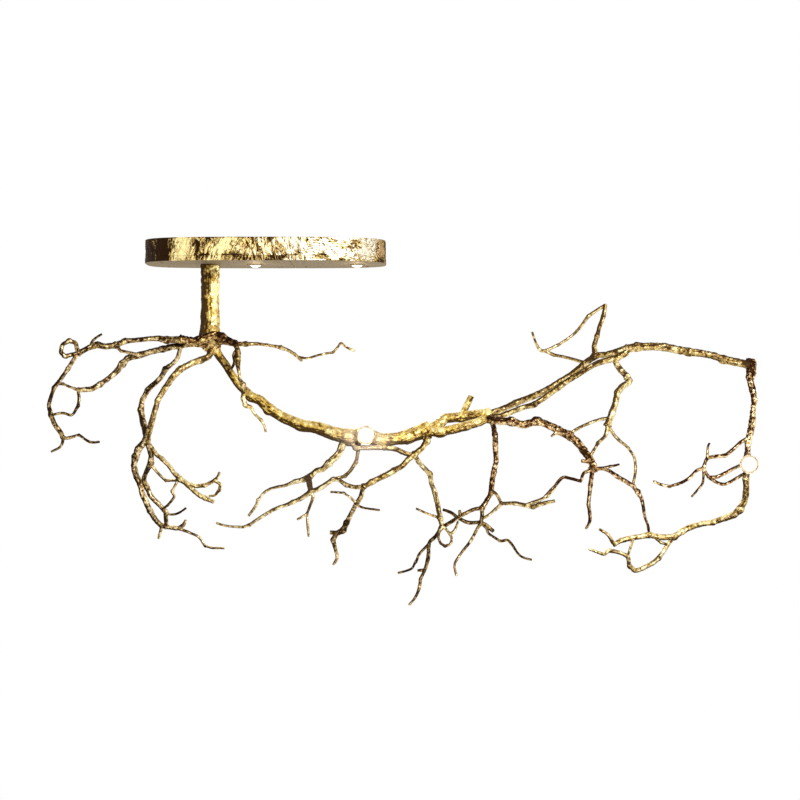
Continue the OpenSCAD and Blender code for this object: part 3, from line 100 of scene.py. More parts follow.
# Routes of the castings, in the front elevation of the part's source: a casting's name, then its strands.
# A semicolon parts a strand's stations, also at a line's end: x y z diameter, and a knot's diameter if any.
ROUTES = """
crown
-172 -22 -204 15 18; -146 -26 -208 15; -128 -28 -204 14 18; -106 -30 -196 15; -88 -28 -200 14 18;
-70 -22 -210 12; -60 -18 -214 12 15
-112 0 -194 40; -111 0 -206 42 50; -107 0 -220 32 36; -102 0 -234 20 22
-112 -8 -206 20; -140 -14 -212 17; -160 -18 -208 14 18
-104 -8 -206 22 26; -84 -16 -206 16 20; -66 -18 -212 12

main_limb
-106 0 -214 18; -96 -2 -234 16; -78 -6 -260 15; -56 -10 -292 15; -30 -14 -320 18 21; -12 -16 -327 19;
6 -18 -344 20 25; 36 -22 -362 21; 70 -26 -377 22 25; 104 -28 -382 24; 136 -30 -393 27; 168 -30 -401 31 36;
200 -30 -397 30; 228 -30 -407 27 30; 258 -28 -404 24; 282 -24 -400 26 29; 304 -20 -392 29; 326 -16 -386 30 36

under_strand
168 -32 -406 12; 180 -40 -422 9 12; 206 -42 -421 9; 236 -42 -421 9 12; 258 -40 -424 9; 280 -36 -433 9;
298 -34 -436 8

twin_fork
328 -10 -384 20; 346 -2 -374 18 22; 360 2 -363 18; 390 4 -360 18 21; 430 0 -353 17; 444 0 -357 16 27
328 -18 -388 19; 348 -24 -391 17 21; 368 -24 -386 17; 400 -20 -378 17 20; 430 -10 -368 17; 444 0 -358 16
394 4 -352 12; 403 4 -334 11 13; 410 6 -318 11
442 0 -344 12; 444 -2 -356 20; 443 0 -370 12

middle_limb
444 2 -354 14; 468 8 -346 12; 500 10 -332 12 15; 550 8 -312 12 15; 602 8 -282 12 15; 642 6 -250 12;
658 4 -238 12 18; 688 2 -234 13; 724 0 -223 15 19
446 -6 -360 11; 468 -10 -359 10 13; 510 -8 -342 10; 538 -8 -334 10 13; 560 -6 -320 10; 612 -6 -282 10 13;
652 -5 -258 10; 674 -5 -249 11; 700 -3 -243 12 15; 722 -2 -230 13
518 -8 -340 8; 540 -13 -338 5

end_limb
724 0 -223 15; 742 0 -220 16 20; 770 4 -219 15; 798 8 -220 15 18; 824 12 -226 15; 846 16 -230 15 18;
870 20 -233 14; 896 24 -238 14; 914 26 -245 14 19; 932 28 -249 15; 952 28 -253 16; 968 26 -257 16 21

end_drop
968 26 -257 13; 967 22 -280 13 16; 973 16 -308 12; 977 10 -326 10 13; 974 4 -350 11; 972 0 -375 12 15;
968 -4 -392 12; 964 -8 -410 11 14; 963 -12 -428 11; 962 -14 -442 14; 962 -14 -454 20 26
960 27 -249 11; 972 26 -251 15; 973 25 -264 17; 970 23 -284 13

end_arch
962 -14 -456 14; 960 -12 -484 12 15; 960 -10 -506 12; 957 -8 -528 12; 948 -6 -545 13 17; 936 -4 -556 13;
918 0 -562 12; 894 4 -571 10 13; 870 8 -574 10; 846 8 -582 11; 832 6 -589 11 14; 816 2 -600 12 15;
790 -6 -600 11; 766 -14 -596 11 14; 744 -18 -600 10; 716 -22 -605 10; 694 -26 -615 8 12
694 -26 -613 7; 684 -28 -596 6; 666 -30 -584 3.5

end_loop
812 1 -603 8; 798 0 -624 8; 786 -4 -642 9 12; 772 -8 -653 9; 754 -12 -662 9; 738 -16 -667 8;
727 -18 -658 8 11; 722 -20 -638 8; 702 -24 -630 7; 686 -28 -627 8 10; 674 -30 -634 6; 646 -34 -624 3
734 -20 -603 6; 730 -20 -618 5; 724 -20 -636 5
776 -11 -599 6; 790 -6 -611 5 7; 804 0 -616 5

end_lamp_twig
966 -6 -402 8; 950 -12 -410 7; 936 -16 -423 7; 918 -20 -437 7 9; 894 -24 -440 7; 882 -26 -443 7;
875 -28 -462 7 10
882 -26 -443 5; 884 -24 -420 4; 888 -24 -412 3
875 -28 -462 6; 860 -32 -468 6; 846 -36 -482 6; 830 -40 -492 6; 808 -44 -499 5 7; 790 -46 -495 5;
774 -48 -488 3
875 -28 -462 6; 875 -26 -478 5; 873 -24 -493 5; 863 -22 -506 4; 851 -20 -520 2.5
875 -28 -464 6; 886 -24 -481 6 8; 902 -22 -480 7; 920 -20 -471 7; 938 -17 -461 6; 956 -14 -455 6
886 -24 -481 6; 904 -28 -492 6; 920 -28 -494 6; 938 -24 -484 6; 958 -15 -472 5

top_twig
658 4 -236 11; 656 6 -218 9; 662 8 -198 8 11; 668 10 -178 8; 675 12 -157 8 10; 679 14 -134 7
679 14 -136 6; 664 16 -145 6; 645 18 -158 7 9; 632 20 -176 6; 615 22 -195 5; 584 22 -216 5 7; 553 20 -228 6;
540 20 -212 4; 532 20 -190 2.5
556 20 -227 6; 576 18 -236 6 8; 602 15 -241 6; 622 11 -247 6; 640 6 -252 6

inner_arch
693 -2 -240 8; 708 -8 -264 12; 721 -14 -279 12 14; 727 -17 -289 11; 713 -21 -299 12; 703 -26 -311 12 14;
699 -32 -332 11; 692 -38 -352 12 15; 683 -42 -378 12 17
718 -15 -281 10; 732 -18 -290 5
683 -42 -378 8; 679 -44 -396 7; 664 -46 -412 6 8; 646 -52 -441 6
684 -42 -378 6; 700 -40 -400 6; 724 -38 -422 5 7; 737 -37 -442 5; 739 -36 -470 5; 734 -38 -497 5
688 -39 -362 6; 657 -38 -368 6; 624 -38 -383 6; 606 -40 -395 6

copper_branch
446 -8 -363 12; 466 -24 -368 14; 490 -30 -369 15 19; 516 -28 -375 14; 542 -30 -368 14 18; 562 -32 -375 15;
584 -36 -386 15 18; 606 -40 -396 16 20; 622 -44 -410 14; 635 -48 -427 14 17; 646 -52 -442 13;
654 -56 -458 14; 653 -58 -466 13 20
649 -54 -450 8; 630 -56 -448 5
588 -38 -386 7; 578 -40 -393 5; 570 -40 -399 4

copper_right_twig
653 -58 -466 8; 672 -54 -463 7; 687 -50 -468 7; 702 -46 -479 8 10; 734 -38 -498 8 10; 744 -34 -510 9 12;
752 -30 -526 7; 758 -26 -560 5; 764 -18 -578 5; 766 -14 -594 5
668 -55 -463 5; 688 -58 -459 5 7; 707 -62 -455 3

copper_left_twigs
653 -58 -466 8; 649 -56 -496 8 10; 645 -52 -534 7 9; 648 -50 -566 6; 640 -48 -584 2.5
653 -58 -466 7; 636 -64 -472 6; 629 -66 -488 6 8; 606 -70 -482 6; 592 -72 -482 6; 576 -74 -500 6;
557 -76 -520 3

long_drop
446 0 -358 12; 454 6 -376 10; 458 12 -396 10 13; 459 18 -420 10; 460 24 -446 10; 456 26 -470 10 13;
452 26 -490 10; 450 24 -512 9 12; 442 22 -526 9; 432 20 -542 9 15

long_drop_left
432 20 -542 8; 414 18 -545 7; 392 14 -556 7 9; 370 8 -570 7; 350 2 -582 8 11; 338 -2 -600 7; 327 -4 -612 7;
324 -6 -644 7 9; 318 -8 -664 6; 309 -8 -684 6 8; 306 -10 -704 6; 298 -12 -722 5; 286 -14 -736 2.5
388 13 -558 6; 387 13 -546 5
316 -7 -666 6; 303 -7 -667 5
327 -5 -613 5; 308 0 -632 5; 300 2 -650 5 7; 290 4 -664 4; 264 6 -672 2.5

long_drop_tail
432 20 -542 8; 432 22 -558 7; 430 22 -572 7 10; 422 22 -584 6; 411 20 -605 6; 396 16 -625 5 7; 383 12 -643 5;
377 10 -656 4; 381 8 -678 2.5
430 22 -571 7; 440 24 -577 8; 455 27 -589 7
430 22 -572 6; 440 26 -582 5; 446 30 -594 5; 468 36 -608 5 7; 486 40 -608 5; 508 44 -637 4; 532 48 -646 2.5
430 22 -570 6; 406 26 -571 7; 384 30 -562 7 9; 370 32 -551 6; 353 34 -545 5

long_drop_right
450 24 -506 6; 462 18 -516 6; 471 14 -533 6 9; 498 10 -533 8; 534 6 -540 8 11; 552 2 -534 8; 578 -2 -528 5
471 14 -533 6; 460 16 -544 6 8; 446 20 -556 6; 431 22 -564 5
518 8 -536 6; 545 2 -527 6; 562 -2 -519 6 8; 572 -4 -508 6; 585 -6 -488 3

curl_drop
298 -34 -434 8; 304 -30 -448 9; 316 -24 -462 9; 328 -18 -474 9 12; 331 -14 -492 9; 338 -12 -512 9 12;
343 -14 -534 9; 348 -20 -562 9 12; 352 -26 -580 8
346 -18 -562 5; 325 -22 -554 4; 300 -24 -543 2.5
352 -26 -578 6; 345 -30 -598 5; 349 -32 -612 5; 358 -34 -619 5 7; 368 -34 -614 5; 371 -32 -602 5;
365 -30 -590 5; 354 -26 -578 5
368 -31 -594 5; 378 -30 -586 5; 384 -28 -568 2.5

near_drop
316 -18 -390 14; 322 -24 -408 12 15; 312 -30 -422 11; 298 -34 -434 11 15; 284 -38 -445 11; 272 -44 -458 10;
256 -50 -467 11 14; 236 -56 -478 11; 212 -64 -490 10 13; 194 -70 -500 10 16

near_drop_tail
194 -70 -500 8; 189 -68 -520 9; 181 -64 -534 9 12; 172 -58 -550 9; 161 -52 -571 10 13; 154 -48 -586 11 14;
141 -46 -594 10; 134 -44 -606 9 11; 139 -42 -626 7; 142 -40 -642 6; 134 -38 -656 3
181 -64 -533 5; 168 -70 -521 4; 156 -74 -512 4 6; 129 -78 -510 2.5
180 -63 -536 5; 196 -66 -542 4; 228 -72 -546 2.5
146 -47 -592 9; 128 -47 -591 7

near_drop_left
194 -70 -500 8; 176 -70 -500 8; 160 -68 -496 8 10; 146 -66 -486 8; 134 -64 -484 8 11; 118 -62 -496 9;
102 -60 -505 9; 90 -58 -509 10 13; 72 -54 -522 9; 54 -50 -530 8 10; 38 -46 -537 7; 14 -40 -546 7;
-20 -32 -567 6; -34 -28 -576 6 8; -50 -24 -580 5; -78 -20 -578 4; -100 -18 -572 2.5
90 -58 -509 6; 94 -60 -520 6; 88 -62 -538 5; 82 -64 -554 5 7; 83 -64 -572 5; 86 -64 -600 2.5
82 -64 -554 4; 62 -68 -565 2.5

slant_drop
158 -30 -402 15; 146 -32 -432 13; 126 -32 -452 13 16; 113 -30 -464 11; 102 -28 -467 10; 88 -26 -479 11 14;
76 -24 -485 11; 58 -20 -489 8 10; 38 -16 -497 6; 14 -10 -502 5; -4 -6 -511 5; -16 -2 -526 5 8; -20 2 -538 6;
-35 6 -558 2.5
86 -27 -480 12; 87 -42 -494 11; 90 -57 -507 11

tie_twig
188 -30 -402 8; 184 -36 -430 7; 180 -44 -450 7 9; 170 -52 -466 7; 158 -58 -478 7 9; 136 -64 -484 6

left_root_upper
-170 -22 -204 13; -198 -26 -206 13 16; -222 -34 -203 10; -256 -46 -206 9; -282 -56 -208 10 13;
-300 -62 -216 12 15; -320 -68 -219 11; -338 -72 -215 12 14; -356 -76 -222 10; -376 -80 -233 10 14
-376 -80 -231 8; -381 -82 -213 8; -394 -84 -207 8 10; -407 -86 -216 8; -410 -86 -230 8; -402 -84 -239 8 10;
-388 -82 -235 8; -376 -80 -233 8
-352 -75 -220 6; -345 -76 -206 5; -328 -78 -194 2.5

left_root_far
-378 -80 -234 8; -386 -80 -248 8; -396 -78 -264 8 10; -412 -74 -286 8; -424 -70 -302 8 10; -430 -66 -320 7;
-434 -62 -338 8; -430 -58 -356 9 12; -422 -54 -376 9; -411 -50 -391 9; -406 -48 -402 8 11
-406 -48 -402 6; -410 -46 -418 5; -430 -44 -430 2.5
-406 -48 -402 6; -396 -46 -402 6; -374 -42 -396 5 7; -352 -40 -410 5; -332 -38 -410 2.5

left_root_lower
-134 -12 -212 12; -182 -6 -219 12; -207 -4 -224 12 15; -232 -2 -230 11; -254 0 -236 12 14; -276 2 -242 12;
-287 4 -254 13 16; -298 2 -268 11; -314 -4 -282 10; -332 -12 -295 10 13; -350 -20 -304 10; -376 -32 -306 9 12
-376 -32 -306 6; -392 -44 -300 5; -406 -58 -294 5 7; -418 -71 -294 5
-376 -32 -306 6; -374 -36 -322 6; -376 -42 -338 6 8; -388 -50 -356 5; -406 -54 -352 5; -429 -58 -355 5
-256 0 -235 6; -274 -22 -231 6; -290 -46 -228 6 8; -300 -61 -217 6

left_root_outer
-170 -8 -217 8; -178 0 -244 8; -201 14 -264 10 13; -212 24 -283 10; -237 34 -306 10 12; -247 38 -326 10;
-250 36 -346 11 14; -247 28 -366 12; -242 14 -386 12; -240 -4 -405 10

left_root_inner
-108 -2 -222 14; -114 -18 -238 12; -130 -26 -246 12 15; -152 -34 -254 12; -172 -40 -265 12 15;
-187 -44 -281 12; -202 -46 -302 11; -216 -46 -326 10 13; -223 -42 -350 10; -229 -34 -370 11;
-234 -22 -388 12 14; -239 -8 -407 12 19

left_cluster_outer
-240 -7 -408 13; -254 -2 -422 14; -262 4 -440 13 16; -264 8 -459 11; -259 10 -478 12; -250 10 -496 12 14;
-248 8 -512 11; -240 6 -530 11; -232 2 -548 10 13; -222 -2 -564 10; -210 -6 -576 10; -198 -8 -580 9 12
-208 -6 -578 6; -215 -6 -604 2.5
-198 -8 -580 8; -176 -12 -583 8; -165 -14 -576 7 9; -160 -16 -566 4
-176 -12 -583 6; -150 -14 -592 5; -134 -16 -600 5; -122 -18 -618 4 6; -106 -20 -622 4; -83 -22 -622 2.5

left_cluster_middle
-238 -10 -410 9; -231 -16 -434 10; -230 -20 -452 12 14; -238 -22 -468 9; -244 -24 -484 9;
-238 -26 -502 10 12; -229 -26 -520 9; -209 -24 -540 9; -200 -20 -550 9 11; -200 -14 -564 8; -199 -9 -578 8
-200 -19 -554 4; -180 -22 -554 4; -160 -26 -542 2.5

left_cluster_right
-236 -10 -410 6; -220 -22 -434 8; -208 -28 -444 8 10; -194 -34 -458 8; -184 -38 -472 9; -172 -42 -484 10 13;
-158 -46 -494 10; -150 -48 -502 9; -134 -52 -516 9; -122 -54 -522 9 11; -104 -56 -530 7
-158 -46 -493 8; -140 -50 -498 8; -122 -54 -496 8 10; -104 -58 -487 7; -97 -60 -481 6; -93 -62 -470 2.5
-104 -58 -487 6; -92 -60 -494 6; -93 -62 -506 6 8; -102 -62 -516 5; -114 -62 -518 2.5
-230 -20 -455 6; -212 -26 -476 5; -200 -32 -487 5 7; -176 -41 -487 5
-176 -41 -487 5; -188 -38 -508 5 7; -184 -36 -520 5; -196 -30 -536 5; -206 -24 -543 5

right_root
-62 -18 -214 10; -40 -16 -214 8 12; -18 -12 -214 7; 2 -8 -216 5 8; 30 -2 -221 7 10; 44 2 -226 6;
58 6 -235 6 8; 72 10 -248 3
62 7 -239 4; 84 12 -242 4; 104 16 -236 4; 134 20 -231 4 7; 144 22 -220 4; 150 24 -212 4; 160 26 -220 3;
178 28 -228 2.5
-62 -19 -214 9; -56 -26 -228 10; -56 -30 -244 10 13; -56 -32 -258 9; -54 -34 -272 6; -53 -34 -284 6;
-46 -34 -295 9 12; -44 -34 -308 8; -46 -34 -322 9; -41 -34 -336 8 11; -30 -34 -341 7; -24 -34 -352 5;
-10 -34 -366 5 7; -3 -34 -378 4; 0 -34 -390 2.5
-57 -24 -224 6; -64 -24 -236 7; -63 -24 -248 6; -66 -24 -258 5; -74 -22 -268 2.5
"""
STRANDS = {}
for block in ROUTES.strip().split("\n\n"):
    casting, *routes = block.replace(";\n", ";").split("\n")
    STRANDS[casting] = [[[float(v) for v in s.split()] for s in route.split(";")] for route in routes]


def slide(s):
    """How much a station off the drawing's plane grows, so that it looks as drawn."""
    return (SIGHT[1] + s[1] * SPREAD) / SIGHT[1]


def place(s):
    """Where a station of the drawing stands, in millimetres."""
    k = slide(s)
    return np.array([SIGHT[0] + (s[0] - SIGHT[0]) * k, s[1] * SPREAD,
                     SIGHT[2] + (s[2] - SIGHT[2]) * k + DRAWING_Z])


def lamp_seat(s):
    return place(s) - np.array([0, BOSS_REACH, 0])


def new_object(name, data):
    obj = bpy.data.objects.new(name, data)
    bpy.context.scene.collection.objects.link(obj)
    return obj


def box_of(node):
    return [np.array(corner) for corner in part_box(node)]


def stand_for(piece, node):
    """Puts a piece in its CAD node's place on the fitting."""
    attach(piece, "fitting")
    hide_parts(node)


# ---- Node trees ----
KINDS = {(float, 1): "Float", (int, 1): "Int", (tuple, 3): "Vector", (tuple, 4): "Color"}


class Nodes:
    """A node tree, written node by node. An input is fed by a value, a socket, a node, or one of the tree's
    own inputs by its label. Those inputs have a first value or a kind each, and outputs a kind."""

    def __init__(self, tree, inputs=None, outputs=None):
        self.tree, self.ids = tree, {}
        for way, rows in (("INPUT", inputs or {}), ("OUTPUT", outputs or {})):
            for label, like in rows.items():
                kind = like if isinstance(like, str) else KINDS[type(like), np.size(like)]
                socket = tree.interface.new_socket(label, in_out=way, socket_type="NodeSocket" + kind)
                if kind != like:
                    socket.default_value = like
                if way == "INPUT":
                    self.ids[label] = socket.identifier
        if outputs:
            self.inn, self.out = tree.nodes.new("NodeGroupInput"), tree.nodes.new("NodeGroupOutput")

    def feed(self, node, links):
        for socket, source in dict(links).items():
            if isinstance(source, str) and source in self.ids:
                source = self.inn.outputs[source]
            elif isinstance(source, bpy.types.Node):
                source = next(o for o in source.outputs if o.enabled)
            if isinstance(source, bpy.types.NodeSocket):
                self.tree.links.new(source, node.inputs[socket])
            else:
                node.inputs[socket].default_value = source
        return node

    def new(self, kind, links, settings):
        n = self.tree.nodes.new(kind)
        for key, value in settings.items():
            setattr(n, key, value)
        return self.feed(n, links)

    def shade(self, kind, links=(), **settings):
        return self.new("ShaderNode" + kind, links, settings)

    def geo(self, kind, links=(), **settings):
        return self.new("GeometryNode" + kind, links, settings)

    def maths(self, how, a, b=0.0, clamp=False):
        return self.shade("Math", {0: a, 1: b}, operation=how, use_clamp=clamp)

    def add(self, a, b, clamp=False):
        return self.maths("ADD", a, b, clamp)

    def less(self, a, b, clamp=False):
        return self.maths("SUBTRACT", a, b, clamp)

    def times(self, a, b):
        return self.maths("MULTIPLY", a, b)

    def vector(self, how, a, b=None):
        other = {} if b is None else {3 if how == "SCALE" else 1: b}
        return self.shade("VectorMath", {0: a, **other}, operation=how)

    def axes(self, **parts):
        return self.shade("CombineXYZ", parts)

    def noise(self, at, scale, detail, rough=0.5):
        return self.shade("TexNoise", {"Vector": at, "Scale": scale, "Detail": detail, "Roughness": rough})

    def per(self, pitch):
        return self.maths("DIVIDE", 1.0, pitch)

    def around(self, value, middle, gain):
        """How far a value is from its middle, times the gain."""
        return self.times(self.less(value, middle), gain)

    def crest(self, value, middle, gain):
        """1 where a value is at its middle, falling off on both sides."""
        return self.less(1.0, self.maths("ABSOLUTE", self.around(value, middle, gain)), clamp=True)

    def ramp(self, value, low, high, to_low=0.0, to_high=1.0, bend="SMOOTHSTEP"):
        links = {0: value, 1: low, 2: high, 3: to_low, 4: to_high}
        return self.shade("MapRange", links, interpolation_type=bend)

    def blend(self, mask, a, b):
        return self.shade("Mix", {0: mask, 6: a, 7: b}, data_type="RGBA")

    def group(self, tree, links):
        return self.shade("Group", links, node_tree=tree)

    def here(self):
        return self.shade("TexCoord").outputs["Object"]

    def read(self, name):
        return self.shade("Attribute", attribute_name=name).outputs["Fac"]

    def named(self, name, kind="FLOAT"):
        return self.geo("InputNamedAttribute", {"Name": name}, data_type=kind)

    def store(self, geometry, name, value, kind="FLOAT"):
        return self.geo("StoreNamedAttribute", {"Geometry": geometry, "Name": name, "Value": value},
                        data_type=kind, domain="POINT")

    def moved(self, geometry, way, by):
        return self.geo("SetPosition", {"Geometry": geometry, "Offset": self.vector("SCALE", way, by)})

    def finish(self, geometry):
        """Ends a geometry tree: real geometry with its finish on it."""
        whole = self.geo("RealizeInstances", {"Geometry": geometry})
        dressed = self.geo("SetMaterial", {"Geometry": whole, "Material": "Finish"})
        self.feed(self.out, {"Geometry": dressed})
        return self


def geometry_tree(name, inputs):
    """A geometry tree with named sizes, a geometry and a finish."""
    return Nodes(bpy.data.node_groups.new(name, "GeometryNodeTree"),
                 {"Geometry": "Geometry", **inputs, "Finish": "Material"}, {"Geometry": "Geometry"})


def shader_group(name, inputs, outputs):
    """An empty shader group with named inputs and outputs."""
    return Nodes(bpy.data.node_groups.new(name, "ShaderNodeTree"), inputs, outputs)


def put(obj, tree, values):
    """Gives the object a geometry node modifier with these values."""
    m = obj.modifiers.new(tree.tree.name, "NODES")
    m.node_group = tree.tree
    for label, value in values.items():
        m[tree.ids[label]] = value


def plain_mesh(obj, name):
    """The evaluated object as a plain mesh object of its own."""
    bpy.context.view_layer.update()
    graph = bpy.context.evaluated_depsgraph_get()
    mesh = bpy.data.meshes.new_from_object(obj.evaluated_get(graph), depsgraph=graph)
    mesh.name = name
    return new_object(name, mesh)


def drop(*objs):
    for o in objs:
        bpy.data.objects.remove(o, do_unlink=True)


def strand_tree():
    """Round strands along a casting's curves, with nodules, and what the bark needs to follow them."""
    t = geometry_tree("strands", {"Step": 0.002, "Sides": 14, "Wander": 0.0012, "Wander pitch": 0.03,
                                  "Nodules": 0.2, "Nodule pitch": 0.009})
    smooth = t.geo("CurveSplineType", {"Curve": "Geometry"}, spline_type="CATMULL_ROM")
    fine = t.geo("SetSplineResolution", {0: smooth, "Resolution": 10})
    even = t.geo("ResampleCurve", {"Curve": fine, "Length": "Step"}, mode="LENGTH")
    here, radius = t.geo("InputPosition"), t.geo("InputRadius")
    sway = t.vector("SUBTRACT", t.noise(here, t.per("Wander pitch"), 2.0).outputs["Color"], (0.5, 0.5, 0.5))
    swayed = t.moved(even, sway, t.times("Wander", 2.0))
    lumps = t.noise(here, t.per("Nodule pitch"), 1.0)
    lumps = t.feed(t.maths("MULTIPLY_ADD", t.less(lumps, 0.48), "Nodules"), {2: 1.0})
    thick = t.geo("SetCurveRadius", {"Curve": swayed, "Radius": t.times(radius, lumps)})
    marked = t.store(thick, "along", t.geo("SplineParameter").outputs["Length"])
    marked = t.store(marked, "thick", radius)
    ring = t.geo("CurvePrimitiveCircle", {"Resolution": "Sides", "Radius": 1.0})
    ring = t.store(ring.outputs["Curve"], "spoke", t.geo("InputPosition"), "FLOAT_VECTOR")
    links = {"Curve": marked, "Profile Curve": ring, "Fill Caps": True, "Scale": radius}
    return t.finish(t.geo("CurveToMesh", links))


def bark_tree():
    """Bark on a fused casting: lengthwise grooves that follow the strands, pits, and small bumps."""
    t = geometry_tree("bark", {"Strands": "Object", "Grooves": 0.0011, "Groove pitch": 0.0065,
                               "Stretch": 0.09, "Bumps": 0.0012, "Bump pitch": 0.006, "Bands": 0.6,
                               "Band pitch": 0.011})
    source = t.geo("ObjectInfo", {"Object": "Strands"}).outputs["Geometry"]

    def carried(name, kind="FLOAT"):
        return t.geo("SampleNearestSurface", {"Mesh": source, "Value": t.named(name, kind)}, data_type=kind)

    along, thick, spoke = carried("along"), carried("thick"), carried("spoke", "FLOAT_VECTOR")
    lengthwise = t.axes(X=t.times(along, 0.02), Z=t.times(along, "Stretch"))
    grain_at = t.vector("ADD", t.vector("SCALE", spoke, thick), lengthwise)
    grain_at = t.vector("ADD", grain_at, t.axes(Y=t.times(thick, 3.0)))
    crest = t.crest(t.noise(grain_at, t.per("Groove pitch"), 3.0, 0.55), 0.5, 5.0)
    lump = t.around(t.noise(t.geo("InputPosition"), t.per("Bump pitch"), 2.0, 0.6), 0.5, 2.6)
    slim = t.maths("MINIMUM", t.maths("DIVIDE", thick, 0.009), 1.0)
    lift = t.add(t.around(crest, 0.55, "Grooves"), t.times(lump, "Bumps"))
    moved = t.moved("Geometry", t.geo("InputNormal").outputs["Normal"], t.times(lift, slim))
    band_at = t.axes(X=along, Y=t.times(thick, 7.0))
    band = t.around(t.noise(band_at, t.per("Band pitch"), 1.0), 0.5, "Bands")
    ridge = t.add(t.add(t.times(crest, 0.6), t.times(lump, 0.3)), band, clamp=True)
    kept = t.store(moved, "ridge", ridge)
    return t.finish(t.geo("SetShadeSmooth", {0: kept}))


def crumple_tree():
    """Bark covered with crumpled leaf: slanting sheets with sharp folds, pressed into the outer wall only."""
    t = geometry_tree("crumple", {"Depth": 0.0024, "Fold pitch": 0.016, "Fine pitch": 0.0045, "Slant": 0.8})
    here = t.geo("InputPosition")
    warp = t.vector("SUBTRACT", t.noise(here, 30.0, 2.0).outputs["Color"], (0.5, 0.5, 0.5))
    x, y, z = t.shade("SeparateXYZ", {0: t.vector("ADD", here, t.vector("SCALE", warp, 0.02))}).outputs
    at = t.axes(X=t.add(x, t.times(z, "Slant")), Y=y, Z=t.times(z, 0.35))
    fold = t.crest(t.noise(at, t.per("Fold pitch"), 4.0), 0.5, 4.0)
    torn = t.shade("TexVoronoi", {"Vector": at, "Scale": t.per("Fine pitch")}, distance="CHEBYCHEV")
    relief = t.add(t.times(fold, 0.7), t.times(torn.outputs["Distance"], 0.35))
    sunk = t.times(t.around(relief, 1.0, "Depth"), t.named("outside"))
    level = t.vector("MULTIPLY", t.geo("InputNormal").outputs["Normal"], (1.0, 1.0, 0.0))
    kept = t.store(t.moved("Geometry", t.vector("NORMALIZE", level), sunk), "ridge", relief)
    return t.finish(t.geo("SetShadeSmooth", {0: kept}))


# ---- Branch castings ----
def strand_points(s):
    """Points and radii of a strand of stations, in metres. A knot swells the strand over a short way only."""
    pts = [place(p) for p in s]
    bare = [(max(p[3], THINNEST) + RIND) / 2 * slide(p) for p in s]
    bare[-1] = max(bare[-1], BLUNT * bare[-2])
    out = []
    for i, (p, c, r) in enumerate(zip(s, pts, bare)):
        if len(p) < 5:
            out.append((c, r))
            continue
        knot = p[4] / 2
        reach = 0.75 * knot + 2
        for j in (i - 1, i, i + 1):
            if i == j:
                out.append((c, knot))
            elif 0 <= j < len(s) and np.linalg.norm(pts[j] - c) > 1.6 * reach:
                f = reach / np.linalg.norm(pts[j] - c)
                out.append((c + (pts[j] - c) * f, r + (bare[j] - r) * f))
    return [(c * MM, r * MM) for c, r in out]


def strand_curves(name, strands):
    """A casting's strands as splines with radii, from lists of points and radii in metres."""
    data = bpy.data.curves.new(name, "CURVE")
    data.dimensions = "3D"
    for points in strands:
        spline = data.splines.new("POLY")
        spline.points.add(len(points) - 1)
        for q, (c, r) in zip(spline.points, points):
            q.co = (*c, 1)
            q.radius = r
    return new_object(name, data)


def boss_strand(seat, width):
    """The flat-faced boss that carries a lamp's cup, drawn out of its limb."""
    back, face = place(seat) * MM, lamp_seat(seat) * MM
    out = np.array([0, -1, 0])
    return [(back, width), (back + out * 0.007, width), (face - out * 0.005, BOSS_R * MM),
            (face - out * 0.0005, BOSS_R * MM)]


def vectors(rows, field):
    out = np.empty(len(rows) * 3)
    rows.foreach_get(field, out)
    return out.reshape(-1, 3)


def points_and_normals(obj):
    """A piece's points, in millimetres, and their normals."""
    return vectors(obj.data.vertices, "co") / MM, vectors(obj.data.vertex_normals, "vector")


def inside_box(obj):
    """Keeps every point inside the CAD model's box."""
    obj.data.vertices.foreach_set("co", np.clip(vectors(obj.data.vertices, "co"), *cad_box).ravel())
    obj.data.update()


def keep(mesh, name, values):
    mesh.attributes.new(name, "FLOAT", "POINT").data.foreach_set("value", values.astype(np.float32))


def shade_places(obj, painted_shade, lift, side):
    """Stores "tone": a painted highlight on the side that faces the given way, painted shade on the side
    turned away and along the outlines, and the listed places of tone, painted shade and painted highlight;
    and "glow", a painted pool of lamp light round a lamp."""
    co, normals = points_and_normals(obj)
    # Painted light: tone is lighter where a normal faces the given way (painted highlight), darker where it
    # turns away and at the outlines (painted shade).
    both = np.column_stack((normals[:, 0], -np.abs(normals[:, 1]), normals[:, 2]))
    turned = both @ (np.array(side) / np.linalg.norm(side))
    tone = lift + 0.08 + 0.16 * turned - painted_shade * np.clip((0.1 - turned) / 0.35, 0, 1)
    for x, z, reach_x, reach_z, amount in TONE_AND_PAINTED_LIGHT_PLACES:
        far = ((co[:, 0] - x) / reach_x) ** 2 + ((co[:, 2] - z - DRAWING_Z) / reach_z) ** 2
        tone += amount * np.exp(-far)
    # Painted lamp light: front faces near each lamp are painted paler.
    painted_lamp_pool = np.zeros(len(co))
    for seat, reach, amount in PAINTED_LAMP_POOLS:
        centre = lamp_seat(seat)
        far = ((co[:, 0] - centre[0]) ** 2 + (co[:, 2] - centre[2]) ** 2) / reach ** 2
        painted_lamp_pool += amount * np.exp(-far) * np.clip(0.3 - normals[:, 1], 0, 1)
    keep(obj.data, "tone", tone)
    keep(obj.data, "glow", painted_lamp_pool)


